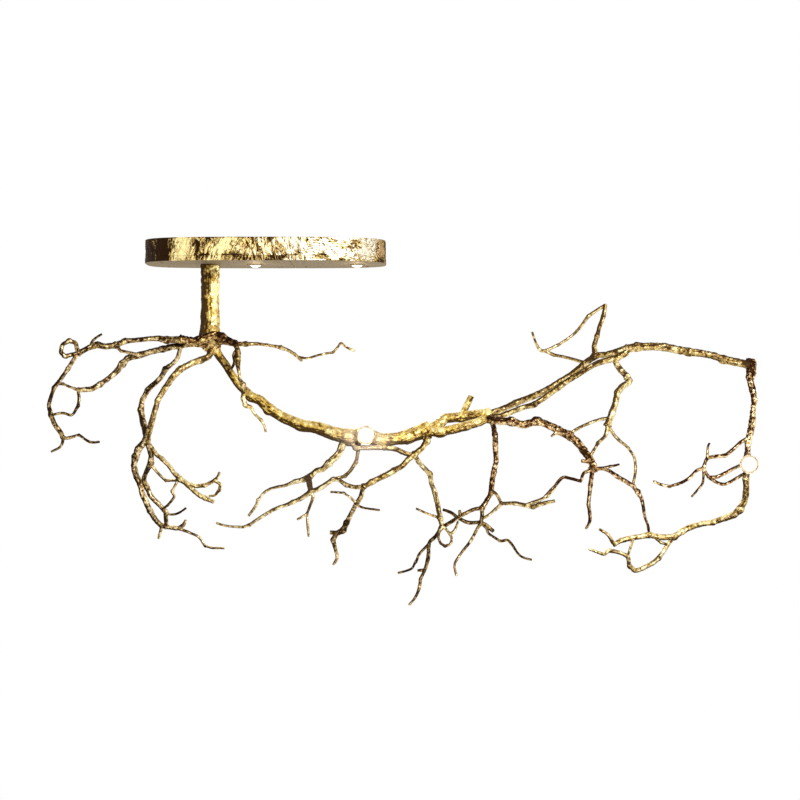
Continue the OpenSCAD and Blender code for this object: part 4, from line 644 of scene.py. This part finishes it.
def cast_piece(node, finish, strands, lift, side, voxel=0.8, wander=0.0012, nodules=0.26, painted_shade=0.54,
               **bark):
    """One casting: its strands, fused into one skin of small voxels (in millimetres), with bark on it."""
    curves = strand_curves(node + "_route", strands)
    put(curves, STRANDS_TREE, {"Nodules": nodules, "Wander": wander, "Finish": finish})
    tubes = plain_mesh(curves, node + "_tubes")
    skin = new_object(node + "_skin", tubes.data.copy())
    fuse = skin.modifiers.new("fuse", "REMESH")
    fuse.mode, fuse.voxel_size = "VOXEL", voxel * MM
    even = skin.modifiers.new("even", "SMOOTH")
    even.factor, even.iterations = 0.5, 3
    sizes = {label.replace("_", " ").capitalize(): value for label, value in bark.items()}
    put(skin, BARK_TREE, {"Strands": tubes, "Finish": finish, **sizes})
    made = plain_mesh(skin, "cast_" + node)
    drop(curves, tubes, skin)
    inside_box(made)
    # The casting gets painted highlight and painted shade by its side, and painted lamp light near a lamp.
    shade_places(made, painted_shade, lift, side)
    stand_for(made, node)


# ---- Canopy ----
def canopy_edge(inset):
    """The canopy's outline in millimetres, drawn in by inset, as evenly spaced points."""
    a = np.radians(np.arange(0, 360, EDGE_STEP))
    wander = EDGE_WANDER * np.sin(3 * a) * (1 + 0.6 * np.cos(2 * a + math.radians(40)))
    line = np.stack([(size / 2 - inset + wander) * np.sign(v) * np.abs(np.round(v, 12)) ** (2 / EDGE_POWER)
                     for size, v in ((CANOPY_L, np.cos(a)), (CANOPY_W, np.sin(a)))], 1)
    closed = np.vstack([line, line[:1]])
    run = np.concatenate([[0], np.cumsum(np.linalg.norm(np.diff(closed, axis=0), axis=1))])
    at = np.linspace(0, run[-1], STRIP_POINTS, endpoint=False)
    even = np.stack([np.interp(at, run, closed[:, i]) for i in (0, 1)], 1)
    for _ in range(12):
        even = 0.5 * even + 0.25 * (np.roll(even, 1, 0) + np.roll(even, -1, 0))
    return even


def ring_faces(rings, count, closed=False):
    """Four-sided faces between each ring of points and the next, and back to the first if closed."""
    pairs = [(i * count, (i + 1) % rings * count) for i in range(rings if closed else rings - 1)]
    return [(i + k, j + k, j + (k + 1) % count, i + (k + 1) % count) for i, j in pairs for k in range(count)]


def mesh_object(name, points, faces):
    mesh = bpy.data.meshes.new(name)
    mesh.from_pydata(points.tolist(), [], faces)
    return new_object(name, mesh)


def canopy_tone_and_painted_light(obj):
    """How the canopy's leaf runs: darkest at the left end and darker at the right end, painted shade where
    the band turns away;
    paler towards the right, partly a painted highlight; painted shade in the gaps at the joint, and darker
    along the top."""
    co, normals = points_and_normals(obj)
    x, _, z = co.T
    # Painted shade at both ends, where the band turns away, and a painted highlight growing towards the
    # right.
    tone = np.interp(x - 0.3 * z, [-240, -222, -172, -158, -100, 0, 60, 120, 218, 232, 240],
                     [-0.8, -0.62, -0.5, 0.16, 0.06, 0.16, 0.18, 0.24, 0.22, 0.0, -0.1])
    # Painted highlight: faces turned up are a little lighter, as if lit from above.
    tone += 0.1 * normals[:, 2]
    # Painted shade in the gaps between band and tray, along the band's foot.
    for left, right in PAINTED_SHADE_GAPS:
        inside = np.clip(np.minimum(x - left, right - x) / 4, 0, 1)
        tone -= 0.45 * inside * np.clip(1 - np.abs(z + BAND_H - 1.5) / 2.5, 0, 1)
    tone -= 0.45 * np.clip(1 + z / 2.4, 0, 1) * np.clip((110 - x) / 60, 0, 1)
    keep(obj.data, "tone", tone)


def leafed_band(node, finish):
    """The canopy's band: its outer wall in fine rows that the leaf crumples, and a plain wall behind it."""
    heights = np.linspace(0, -BAND_H, STRIP_ROWS)
    outer, inner = canopy_edge(0), canopy_edge(BAND_BACK)
    rows = [(outer, z, 1.0) for z in heights] + [(inner, z, 0.0) for z in heights[[-1, 0]]]
    co = np.vstack([np.column_stack([line, np.full(STRIP_POINTS, z)]) for line, z, _ in rows]) * MM
    raw = mesh_object(node + "_raw", co, ring_faces(len(rows), STRIP_POINTS, closed=True))
    keep(raw.data, "outside", np.repeat([row[2] for row in rows], STRIP_POINTS))
    put(raw, CRUMPLE_TREE, {"Depth": FOLD_DEPTH * MM, "Finish": finish})
    made = plain_mesh(raw, node + "_leafed")
    drop(raw)
    inside_box(made)
    canopy_tone_and_painted_light(made)
    stand_for(made, node)


def canopy_reach(co):
    """How far out a point lies under the canopy: 1 at the outline."""
    return ((abs(co.x) / MM / (CANOPY_L / 2)) ** EDGE_POWER
            + (abs(co.y) / MM / (CANOPY_W / 2)) ** EDGE_POWER) ** (1 / EDGE_POWER)


def leafed_tray(node, satin, leaf):
    """A canopy tray with a softened edge: satin underneath, leaf wrapped over its side."""
    mesh = frame["nodes"][node].data.copy()
    made = new_object(node + "_leafed", mesh)
    shape = bmesh.new()
    shape.from_mesh(mesh)
    bmesh.ops.remove_doubles(shape, verts=shape.verts, dist=0.00002)
    bmesh.ops.dissolve_limit(shape, angle_limit=math.radians(1), verts=shape.verts, edges=shape.edges)
    floor = min(v.co.z for v in shape.verts)
    rim = [e for e in shape.edges if len(e.link_faces) == 2 and e.calc_face_angle(0) > 1
           and all(abs(v.co.z - floor) < 1e-5 and canopy_reach(v.co) > 0.97 for v in e.verts)]
    bmesh.ops.bevel(shape, geom=rim, offset=TRAY_ROUND * MM, segments=3, profile=0.5, affect="EDGES")
    shape.to_mesh(mesh)
    shape.free()
    mesh.materials.clear()
    mesh.materials.append(satin)
    mesh.materials.append(leaf)
    for face in mesh.polygons:
        face.material_index = 1 if abs(face.normal.z) < 0.6 else 0
    canopy_tone_and_painted_light(made)
    stand_for(made, node)


def spot_dome(node):
    """A canopy spot's frosted lens: a plug in its housing with a shallow dome below."""
    lo, hi = box_of(node)
    middle, radius, deep, turns = (lo + hi) / 2, (hi - lo)[0] / 2, (hi - lo)[2] / MM, 48
    side = [(radius * f, lo[2] + h * MM) for f, h in ((0.9, deep), (1, deep - 1), (1, 0))]
    arc = [(radius * math.cos(a), lo[2] - SPOT_DOME * MM * math.sin(a)) for a in np.radians(range(9, 90, 9))]
    rings = [[(middle[0] + r * math.cos(a), middle[1] + r * math.sin(a), z) for a in
              np.linspace(0, 2 * math.pi, turns, endpoint=False)] for r, z in side + arc]
    ends = [(middle[0], middle[1], z) for z in (hi[2], lo[2] - SPOT_DOME * MM)]
    top = len(rings) * turns
    last = top - turns
    faces = ring_faces(len(rings), turns) + [(k, (k + 1) % turns, top) for k in range(turns)]
    faces += [(last + (k + 1) % turns, last + k, top + 1) for k in range(turns)]
    made = mesh_object(node + "_dome", np.vstack([*rings, ends]), faces)
    made.data.shade_smooth()
    made.data.materials.append(LENS[node])
    stand_for(made, node)


# ---- Finishes ----
def grain_group():
    """Grain drawn out one way in the front plane, fine and in clouds: strokes, cracks, brushing."""
    g = shader_group("grain", {"Place": (0, 0, 0), "Turn": 0.0, "Across": 300.0, "Along": 60.0},
                     {"Fine": "Float", "Cloud": "Float"})
    turned = g.shade("VectorRotate", {"Vector": "Place", "Angle": "Turn"}, rotation_type="Y_AXIS")
    at = g.vector("MULTIPLY", turned, g.axes(X="Across", Y="Across", Z="Along"))
    g.feed(g.out, {"Fine": g.noise(at, 1.0, 4.0, 0.6), "Cloud": g.noise(at, 0.08, 2.0)})
    return g.tree


def leaf_group():
    """Gold leaf worn over dark wax: bright on the ridges, umber in the grooves, patchy in between; "Glow"
    paints a pool of lamp light in pale taupe.
    """
    g = shader_group("gold_leaf", {
        "Place": (0, 0, 0), "Ridge": 0.5, "Tone": 0.0, "Glow": 0.0, "Wear": 0.5, "Contrast": 1.0,
        "Patch": 60.0, "Grains": 150.0, "Bright": (1, 0.9, 0.6, 1), "Gold": (0.8, 0.6, 0.2, 1),
        "Tan": (0.5, 0.3, 0.15, 1), "Dark": (0.12, 0.06, 0.02, 1)},
        {"Colour": "Color", "Roughness": "Float", "Metal": "Float", "Height": "Float"})
    patch, grains, speck = (g.noise("Place", scale, detail, 0.62)
                            for scale, detail in (("Patch", 3.0), ("Grains", 2.0), (620.0, 2.0)))
    flake = g.shade("TexVoronoi", {"Vector": "Place", "Scale": 300.0, "Randomness": 1.0})
    level = g.add(g.less("Ridge", 0.32), g.around(grains, 0.5, 1.5))
    level = g.times(g.add(level, g.around(speck, 0.5, 0.7)), "Contrast")
    level = g.add(g.add(level, 0.4), g.around(patch, 0.5, 1.3))
    level = g.less(g.add(level, "Tone"), g.times("Wear", 0.5), clamp=True)
    low, high = g.ramp(level, 0.1, 0.38), g.ramp(level, 0.42, 0.72)
    warm = g.ramp(g.noise("Place", 42.0, 3.0), 0.42, 0.6, bend="LINEAR")
    colour = g.blend(high, g.blend(low, "Dark", g.blend(warm, "Gold", "Tan")), "Bright")
    # Glow paints lamp light: the colour turns pale taupe where a lamp would light the leaf.
    g.feed(g.out, {"Colour": g.blend("Glow", colour, (0.74, 0.6, 0.44, 1)),
                   "Roughness": g.less(0.54, g.times(level, 0.24)),
                   "Metal": g.add(g.times(low, 0.25), g.times(high, 0.35)),
                   "Height": g.add(g.add(speck, grains), g.times(flake, 0.6))})
    return g.tree


GRAIN, LEAF = grain_group(), leaf_group()


class Finish(Nodes):
    """A material's node tree, with its shader in place."""

    def __init__(self, name):
        self.material = bpy.data.materials.new(name)
        self.material.use_nodes = True
        super().__init__(self.material.node_tree)
        self.tree.nodes.clear()
        self.shader = self.shade("BsdfPrincipled")
        self.out = self.shade("OutputMaterial", {0: self.shader})

    def bump(self, height, strength, distance):
        return self.shade("Bump", {"Height": height, "Strength": strength, "Distance": distance})

    def wear_leaf(self, bump, links):
        """Puts gold leaf on the shader: its colour, gloss, metal and relief."""
        leaf = self.group(LEAF, links).outputs
        self.feed(self.shader, {"Base Color": leaf["Colour"], "Roughness": leaf["Roughness"],
                                "Metallic": leaf["Metal"], "Normal": self.bump(leaf["Height"], bump, 0.0008),
                                "Specular IOR Level": 0.02, "Specular Tint": (0.5, 0.38, 0.22, 1)})
        return self.material


def leaf_finish(name, bright, gold, tan, dark, wear, contrast, ridged=True):
    """A cast finish: gold leaf and wax that follow the bark's ridges."""
    t = Finish(name)
    links = {"Place": t.here(), "Wear": wear, "Contrast": contrast, "Bright": (*bright, 1),
             "Gold": (*gold, 1), "Tan": (*tan, 1), "Dark": (*dark, 1)}
    if ridged:
        # Tone and Glow bring the casting's painted light: painted highlight, painted shade and painted lamp
        # light.
        links.update({label: t.read(label.lower()) for label in ("Ridge", "Tone", "Glow")})
    return t.wear_leaf(0.35, links)


def canopy_finish(name, ridged=True):
    """The canopy's leaf: sheets laid slantwise with fine dark cracks, and long flat cracks on the right."""
    t = Finish(name)
    at = t.here()
    across = t.shade("SeparateXYZ", {0: at})
    # The ways that the leaf is laid, from the left: turn in degrees, grains in a metre across and along
    lays = [t.group(GRAIN, {"Place": at, "Turn": math.radians(turn), "Across": wide, "Along": length}).outputs
            for turn, wide, length in ((10, 420, 40), (-20, 250, 50), (12, 230, 45), (84, 330, 60))]
    stroke, sheet = lays[0]["Fine"], lays[0]["Cloud"]
    for start, lay in zip((-0.178, -0.02, 0.085), lays[1:]):
        past = t.ramp(across, start - 0.02, start + 0.02, bend="LINEAR")
        stroke = t.shade("Mix", {0: past, 2: stroke, 3: lay["Fine"]}, data_type="FLOAT")
        sheet = t.shade("Mix", {0: past, 2: sheet, 3: lay["Cloud"]}, data_type="FLOAT")
    crack = t.ramp(t.maths("ABSOLUTE", t.less(stroke, 0.47)), 0.0, 0.045, -0.7, 0.0)
    # The stored tone brings the canopy's painted shade and painted highlight.
    tone = t.add(t.add(t.read("tone"), crack), t.around(stroke, 0.5, 1.5))
    tone = t.add(tone, t.around(sheet, 0.5, 1.7))
    # Paler leaf towards the right, partly a painted highlight where the light falls; copper-coloured leaf at
    # the right end.
    pale, copper = t.ramp(across, -0.08, 0.09, bend="LINEAR"), t.ramp(across, 0.218, 0.23, bend="LINEAR")
    bright = t.blend(copper, t.blend(pale, (1, 0.84, 0.4, 1), (1, 0.95, 0.8, 1)), (0.8, 0.5, 0.28, 1))
    links = {"Place": at, "Tone": tone, "Wear": 0.36, "Contrast": 0.62, "Patch": 34.0, "Grains": 190.0,
             "Bright": bright, "Gold": (0.84, 0.6, 0.2, 1), "Tan": (0.52, 0.34, 0.12, 1),
             "Dark": (0.035, 0.015, 0.005, 1)}
    if ridged:
        links["Ridge"] = t.read("ridge")
    return t.wear_leaf(0.4, links)


def lit_lens(name, strength, centre, radius):
    """Frosted lens, lit from behind: full in the middle, dimmer where it turns over at the rim."""
    t = Finish(name)
    at = t.here()
    grain = t.group(GRAIN, {"Place": at, "Across": 900.0, "Along": 900.0}).outputs["Fine"]
    tint = t.blend(grain, (1.0, 0.93, 0.78, 1), (1.0, 0.97, 0.9, 1))
    rim = t.ramp(t.vector("LENGTH", t.vector("SUBTRACT", at, centre)).outputs["Value"], radius * 0.3, radius)
    t.feed(t.shader, {"Base Color": t.blend(grain, (0.42, 0.37, 0.3, 1), (0.5, 0.45, 0.38, 1)),
                      "Emission Color": t.blend(rim, tint, (0.1, 0.085, 0.06, 1)),
                      "Emission Strength": strength, "Roughness": 0.45})
    return t.material


def plain_finish(name, colour, other, across, rough, metal, edge=(1, 1, 1, 1), bump=0.1, along=None, turn=0):
    """A plain finish with a fine two-tone grain: brushed or drawn metal, moulded plastic, lead sheath."""
    t = Finish(name)
    grain = t.group(GRAIN, {"Place": t.here(), "Turn": math.radians(turn), "Across": across,
                            "Along": along or across}).outputs
    mask = t.add(t.times(grain["Fine"], 0.6), t.times(grain["Cloud"], 0.4))
    t.feed(t.shader, {"Base Color": t.blend(mask, (*colour, 1), (*other, 1)), "Metallic": metal,
                      "Roughness": t.ramp(mask, 0.0, 1.0, rough - 0.08, rough + 0.1, "LINEAR"),
                      "Normal": t.bump(grain["Fine"], bump, 0.0003), "Specular Tint": edge})
    return t.material


# Leaf finishes: bright ridge, two middle tones, wax in the grooves, how worn it is, and its contrast
CAST = {name: leaf_finish("leaf_" + name, *row) for name, *row in (
    ("lemon", (1, 0.87, 0.42), (0.68, 0.45, 0.09), (0.48, 0.305, 0.095), (0.085, 0.045, 0.012), 0.3, 0.7),
    ("straw", (1, 0.88, 0.54), (0.6, 0.435, 0.155), (0.44, 0.315, 0.14), (0.09, 0.052, 0.022), 0.3, 0.85),
    ("antique", (1, 0.84, 0.46), (0.51, 0.345, 0.1), (0.39, 0.25, 0.095), (0.075, 0.04, 0.014), 0.42, 0.85),
    ("walnut", (0.98, 0.8, 0.47), (0.41, 0.27, 0.095), (0.3, 0.185, 0.075), (0.03, 0.016, 0.007), 0.5, 0.9),
    ("russet", (1, 0.84, 0.52), (0.46, 0.29, 0.11), (0.36, 0.19, 0.08), (0.035, 0.013, 0.006), 0.45, 1.15),
    ("copper", (1, 0.79, 0.45), (0.42, 0.235, 0.08), (0.28, 0.135, 0.05), (0.035, 0.014, 0.006), 0.52, 1.1),
    ("maroon", (0.98, 0.72, 0.3), (0.32, 0.16, 0.045), (0.2, 0.085, 0.03), (0.016, 0.007, 0.004), 0.56, 1.0),
    # The cup's pale colours are partly painted lamp light, as if the lens lit the cup round it.
    ("cup", (1, 0.88, 0.64), (0.62, 0.48, 0.3), (0.5, 0.37, 0.23), (0.2, 0.14, 0.09), 0.4, 0.6, False),
)}
# Plain finishes: two tones, grains across a metre, roughness, metal, edge's tint, relief, grains along, turn
PLAIN = {name: plain_finish(name, *row) for name, *row in (
    ("satin_tray", (0.1, 0.07, 0.04), (0.56, 0.46, 0.31), 160, 0.5, 0.7, (0.5, 0.38, 0.24, 1), 0.12, 10, 90),
    ("zinc_steel", (0.27, 0.275, 0.28), (0.45, 0.45, 0.44), 400, 0.6, 0.6, (0.4, 0.4, 0.4, 1)),
    ("white_plastic", (0.8, 0.8, 0.77), (0.86, 0.86, 0.84), 500, 0.45, 0.0),
    ("brass", (0.6, 0.42, 0.14), (0.75, 0.56, 0.22), 400, 0.35, 0.6),
    ("lead_sheath", (0.03, 0.03, 0.03), (0.06, 0.06, 0.06), 500, 0.5, 0.0),
)}
BY_SLOT = {**PLAIN, "cast_umber": CAST["cup"]}

# ---- Making it ----
STRANDS_TREE, BARK_TREE, CRUMPLE_TREE = strand_tree(), bark_tree(), crumple_tree()
SLOT_OF = {row["node"]: row["material_slot"] for row in frame["record"]["subparts"]}
# Each casting's finish, and how much more (+) or less (-) leaf it has than others with that finish
LEAF_OF = {
    "lemon": {"main_limb": -0.07, "twin_fork": -0.03},
    "straw": {"under_strand": -0.28, "near_drop_left": -0.07, "slant_drop": -0.06, "tie_twig": -0.12,
              "end_loop": -0.08, "inner_arch": -0.08, "long_drop_right": -0.07, "curl_drop": -0.22},
    "antique": {"middle_limb": -0.06, "end_limb": -0.08, "end_arch": 0.08, "top_twig": 0.0,
                "near_drop": -0.09, "left_root_inner": -0.13, "left_cluster_right": 0.14, "right_root": 0.0},
    "walnut": {"left_root_upper": -0.05, "left_root_far": -0.08, "left_root_lower": -0.02,
               "left_root_outer": 0.0, "left_cluster_outer": 0.1, "left_cluster_middle": -0.07,
               "long_drop_left": -0.2, "long_drop_tail": -0.2, "near_drop_tail": 0.03},
    "russet": {"end_drop": 0.0, "end_lamp_twig": -0.05, "copper_right_twig": -0.14,
               "copper_left_twigs": -0.26},
    "copper": {"copper_branch": -0.04, "long_drop": -0.14},
    "maroon": {"crown": 0.07},
}
# Places of the drawing painted lighter (+) or darker (-): partly the castings' own tone, partly painted shade
# and painted highlight, such as the stem's dark left and bright right and the main limb's shaded upper part:
# x, z, reach along x and z, amount
TONE_AND_PAINTED_LIGHT_PLACES = [
    (-106, -226, 14, 14, 0.45), (-88, -250, 30, 40, -0.35), (200, -400, 30, 30, 0.22),
    (300, -392, 60, 60, 0.05), (160, -571, 20, 20, -0.2), (142, -600, 30, 30, -0.25),
    (-72, -200, 20, 20, -0.3), (-132, -120, 11, 90, -0.3), (-101, -125, 8, 90, 0.3),
    (654, -238, 14, 14, -0.4), (720, -222, 30, 14, 0.2), (-190, -205, 50, 12, -0.15),
    (-330, -220, 30, 30, -0.15), (972, -256, 14, 16, -0.5), (968, -300, 14, 30, -0.15),
    (-402, -353, 30, 12, -0.3), (-394, -206, 26, 14, -0.3), (-150, -246, 40, 12, 0.3),
    (-40, -208, 20, 10, -0.25), (438, -350, 10, 14, 0.25), (956, -524, 24, 50, -0.1),
    (87, -495, 14, 14, -0.4), (778, -488, 10, 8, -0.3), (380, -562, 26, 14, 0.3), (298, -632, 20, 24, 0.25),
    (444, -362, 8, 10, -0.2), (410, -320, 8, 8, -0.25),
]
# The way that the painted light comes from, by how a casting's name starts: the side facing it gets a painted
# highlight, the side turned away painted shade
PAINTED_LIGHT_WAYS = [
    (("main_limb", "twin_fork", "under_strand", "end_arch", "end_loop"), (0.3, -0.3, 0.85)),
    ("left_cluster", (0.75, -0.3, 0.3)), ("left_root", (0.6, -0.4, -0.55)), ("", (0.4, -0.35, -0.6)),
]
# The bosses that carry the lamps, with their radius where they leave the limb
BOSSES = {"main_limb": [boss_strand(NEAR_LAMP, 0.013)], "end_drop": [boss_strand(END_LAMP, 0.0105)]}
# Bark that differs from the sizes in the trees, in metres
BARK = {
    "main_limb": dict(grooves=0.0011, groove_pitch=0.011, stretch=0.04, bumps=0.0006, nodules=0.12,
                      bands=0.2),
    "twin_fork": dict(grooves=0.0012, groove_pitch=0.01, bumps=0.001, stretch=0.05),
    "crown": dict(grooves=0.0016, bumps=0.002, groove_pitch=0.008),
    "copper_branch": dict(bumps=0.0022, nodules=0.35),
    "long_drop": dict(bumps=0.002, nodules=0.4),
    "end_drop": dict(bumps=0.0028, nodules=0.45, bands=0.9),
}
for leaf, castings in LEAF_OF.items():
    for node, lift in castings.items():
        strands = [strand_points(s) for s in STRANDS[node]] + BOSSES.get(node, [])
        side = next(way for starts, way in PAINTED_LIGHT_WAYS if node.startswith(starts))
        cast_piece(node, CAST[leaf], strands, lift, side, **BARK.get(node, {}))

half = SLEEVE_D / 2
top, foot = half + SLEEVE_FLARE / 2, half + SLEEVE_FLARE
stem = [((STEM_X * MM, 0, z * MM), r * MM) for z, r in (
    (FLOOR_Z - 0.5, top), (FLOOR_Z - 6, top - 1), (FLOOR_Z - 16, half), (-110, half - 0.3), (-150, half),
    (FOOT_Z + 14, half + 1), (FOOT_Z + 4, foot - 1), (FOOT_Z, foot))]
# Painted light on the stem: a painted highlight on its right side and painted shade on its left.
cast_piece("stem_sleeve", CAST["lemon"], [stem], -0.12, (1, 0, 0), voxel=1.1, wander=0.0, nodules=0.08,
           painted_shade=0.12, grooves=0.0022, groove_pitch=0.012, stretch=0.12, bumps=0.0022, bump_pitch=0.011,
           bands=0.2)

leafed_band("canopy_band", canopy_finish("leaf_canopy"))
tray_leaf = canopy_finish("leaf_tray_side", ridged=False)
for node in ("canopy_tray_left", "canopy_tray_right"):
    leafed_tray(node, PLAIN["satin_tray"], tray_leaf)


def lit_face(node):
    """The middle of a lens's lit face, and the way that it faces."""
    lo, hi = box_of(node)
    facing = np.array((0, -1, 0) if node.endswith("lamp") else (0, 0, -1))
    return np.where(facing, lo, (lo + hi) / 2), facing


LENS = {node: lit_lens(node + "_glow", 1.7, lit_face(node)[0], LAMP_D / 2 * MM)
        for node in ("near_lamp", "end_lamp")}
for node in ("spot_lens_left", "spot_lens_right"):
    lo, hi = box_of(node)
    LENS[node] = lit_lens(node + "_glow", 6.0, lit_face(node)[0], (hi - lo)[0] * 0.62)
    spot_dome(node)
for name, node in frame["nodes"].items():
    if not node.hide_render:
        node.data.materials.clear()
        node.data.materials.append(LENS.get(name) or BY_SLOT.get(SLOT_OF.get(name), PLAIN["zinc_steel"]))


# ---- Camera, light and surroundings ----
def camera():
    data = bpy.data.cameras.new("camera")
    data.sensor_width, data.lens = 36, 108
    cam = new_object("camera", data)
    cam.location = [v * MM for v in (SIGHT[0], -SIGHT[1], SIGHT[2] + DRAWING_Z)]
    cam.rotation_euler = (math.radians(90), 0, 0)
    bpy.context.scene.camera = cam


def light(name, kind, at, power, colour):
    data = bpy.data.lights.new(name, kind)
    data.energy, data.color = power, colour
    made = new_object(name, data)
    made.location = at
    return made


def lamp(name, at, target, power, size, colour=(1, 1, 1)):
    made = light(name, "AREA", at, power, colour)
    made.data.size = size
    made.rotation_euler = (Vector(target) - Vector(at)).to_track_quat("-Z", "Y").to_euler()


def glow(node, power, ahead):
    """The light that a lit lens throws back on what it is let into."""
    face, facing = lit_face(node)
    made = light(node + "_light", "POINT", face + facing * ahead, power, (1, 0.95, 0.86))
    made.data.shadow_soft_size, made.visible_camera = 0.012, False


def white_to_the_eye(t):
    """1 for the rays that see the background: camera, glossy and transmission rays."""
    path = t.shade("LightPath").outputs
    seen = t.add(path["Is Camera Ray"], path["Is Glossy Ray"])
    return t.add(seen, path["Is Transmission Ray"], clamp=True)


def lay_floor():
    """A pale round floor for the object's shadow, which fades out at its edge and is clear from below."""
    bpy.ops.mesh.primitive_circle_add(vertices=96, radius=2.2, fill_type="NGON", location=(0.28, 0, -1.5))
    floor = bpy.context.object
    floor.name = "floor"
    t = Finish("pale_floor")
    t.feed(t.shader, {"Base Color": (0.93, 0.93, 0.92, 1), "Roughness": 0.9})
    lift = t.shade("Emission", {"Strength": t.times(white_to_the_eye(t), 0.3)})
    pale = t.shade("AddShader", {0: t.shader, 1: lift})
    away = t.vector("LENGTH", t.here()).outputs["Value"]
    below = t.shade("NewGeometry").outputs["Backfacing"]
    clear = t.maths("MAXIMUM", t.ramp(away, 1.3, 2.15), below)
    t.feed(t.out, {0: t.shade("MixShader", {0: clear, 1: pale, 2: t.shade("BsdfTransparent")})})
    floor.data.materials.append(t.material)


def surroundings():
    world = bpy.data.worlds.new("studio")
    bpy.context.scene.world = world
    world.use_nodes = True
    t = Nodes(world.node_tree)
    t.tree.nodes.clear()
    soft = t.shade("Background", {"Color": (1, 0.99, 0.97, 1), "Strength": 0.15})
    white = t.shade("Background", {"Color": (1, 1, 1, 1), "Strength": 1.0})
    t.shade("OutputWorld", {0: t.shade("MixShader", {0: white_to_the_eye(t), 1: soft, 2: white})})
    lay_floor()
    lamp("key", (1.9, -2.9, 0.7), (0.3, 0, -0.35), 104, 0.8, (1, 0.97, 0.92))
    lamp("fill", (-1.2, -3.0, 0.1), (0.1, 0, -0.3), 8, 1.6)
    lamp("side", (-2.8, 0.6, 0.1), (0.1, 0, -0.35), 30, 1.6)
    lamp("back", (-0.6, 2.8, 1.0), (0.3, 0, -0.35), 60, 1.6)
    glow("near_lamp", 0.12, 0.035)
    glow("end_lamp", 0.04, 0.035)
    glow("spot_lens_left", 0.05, 0.03)
    glow("spot_lens_right", 0.05, 0.03)


camera()
surroundings()
bpy.context.scene.view_settings.view_transform = "Standard"
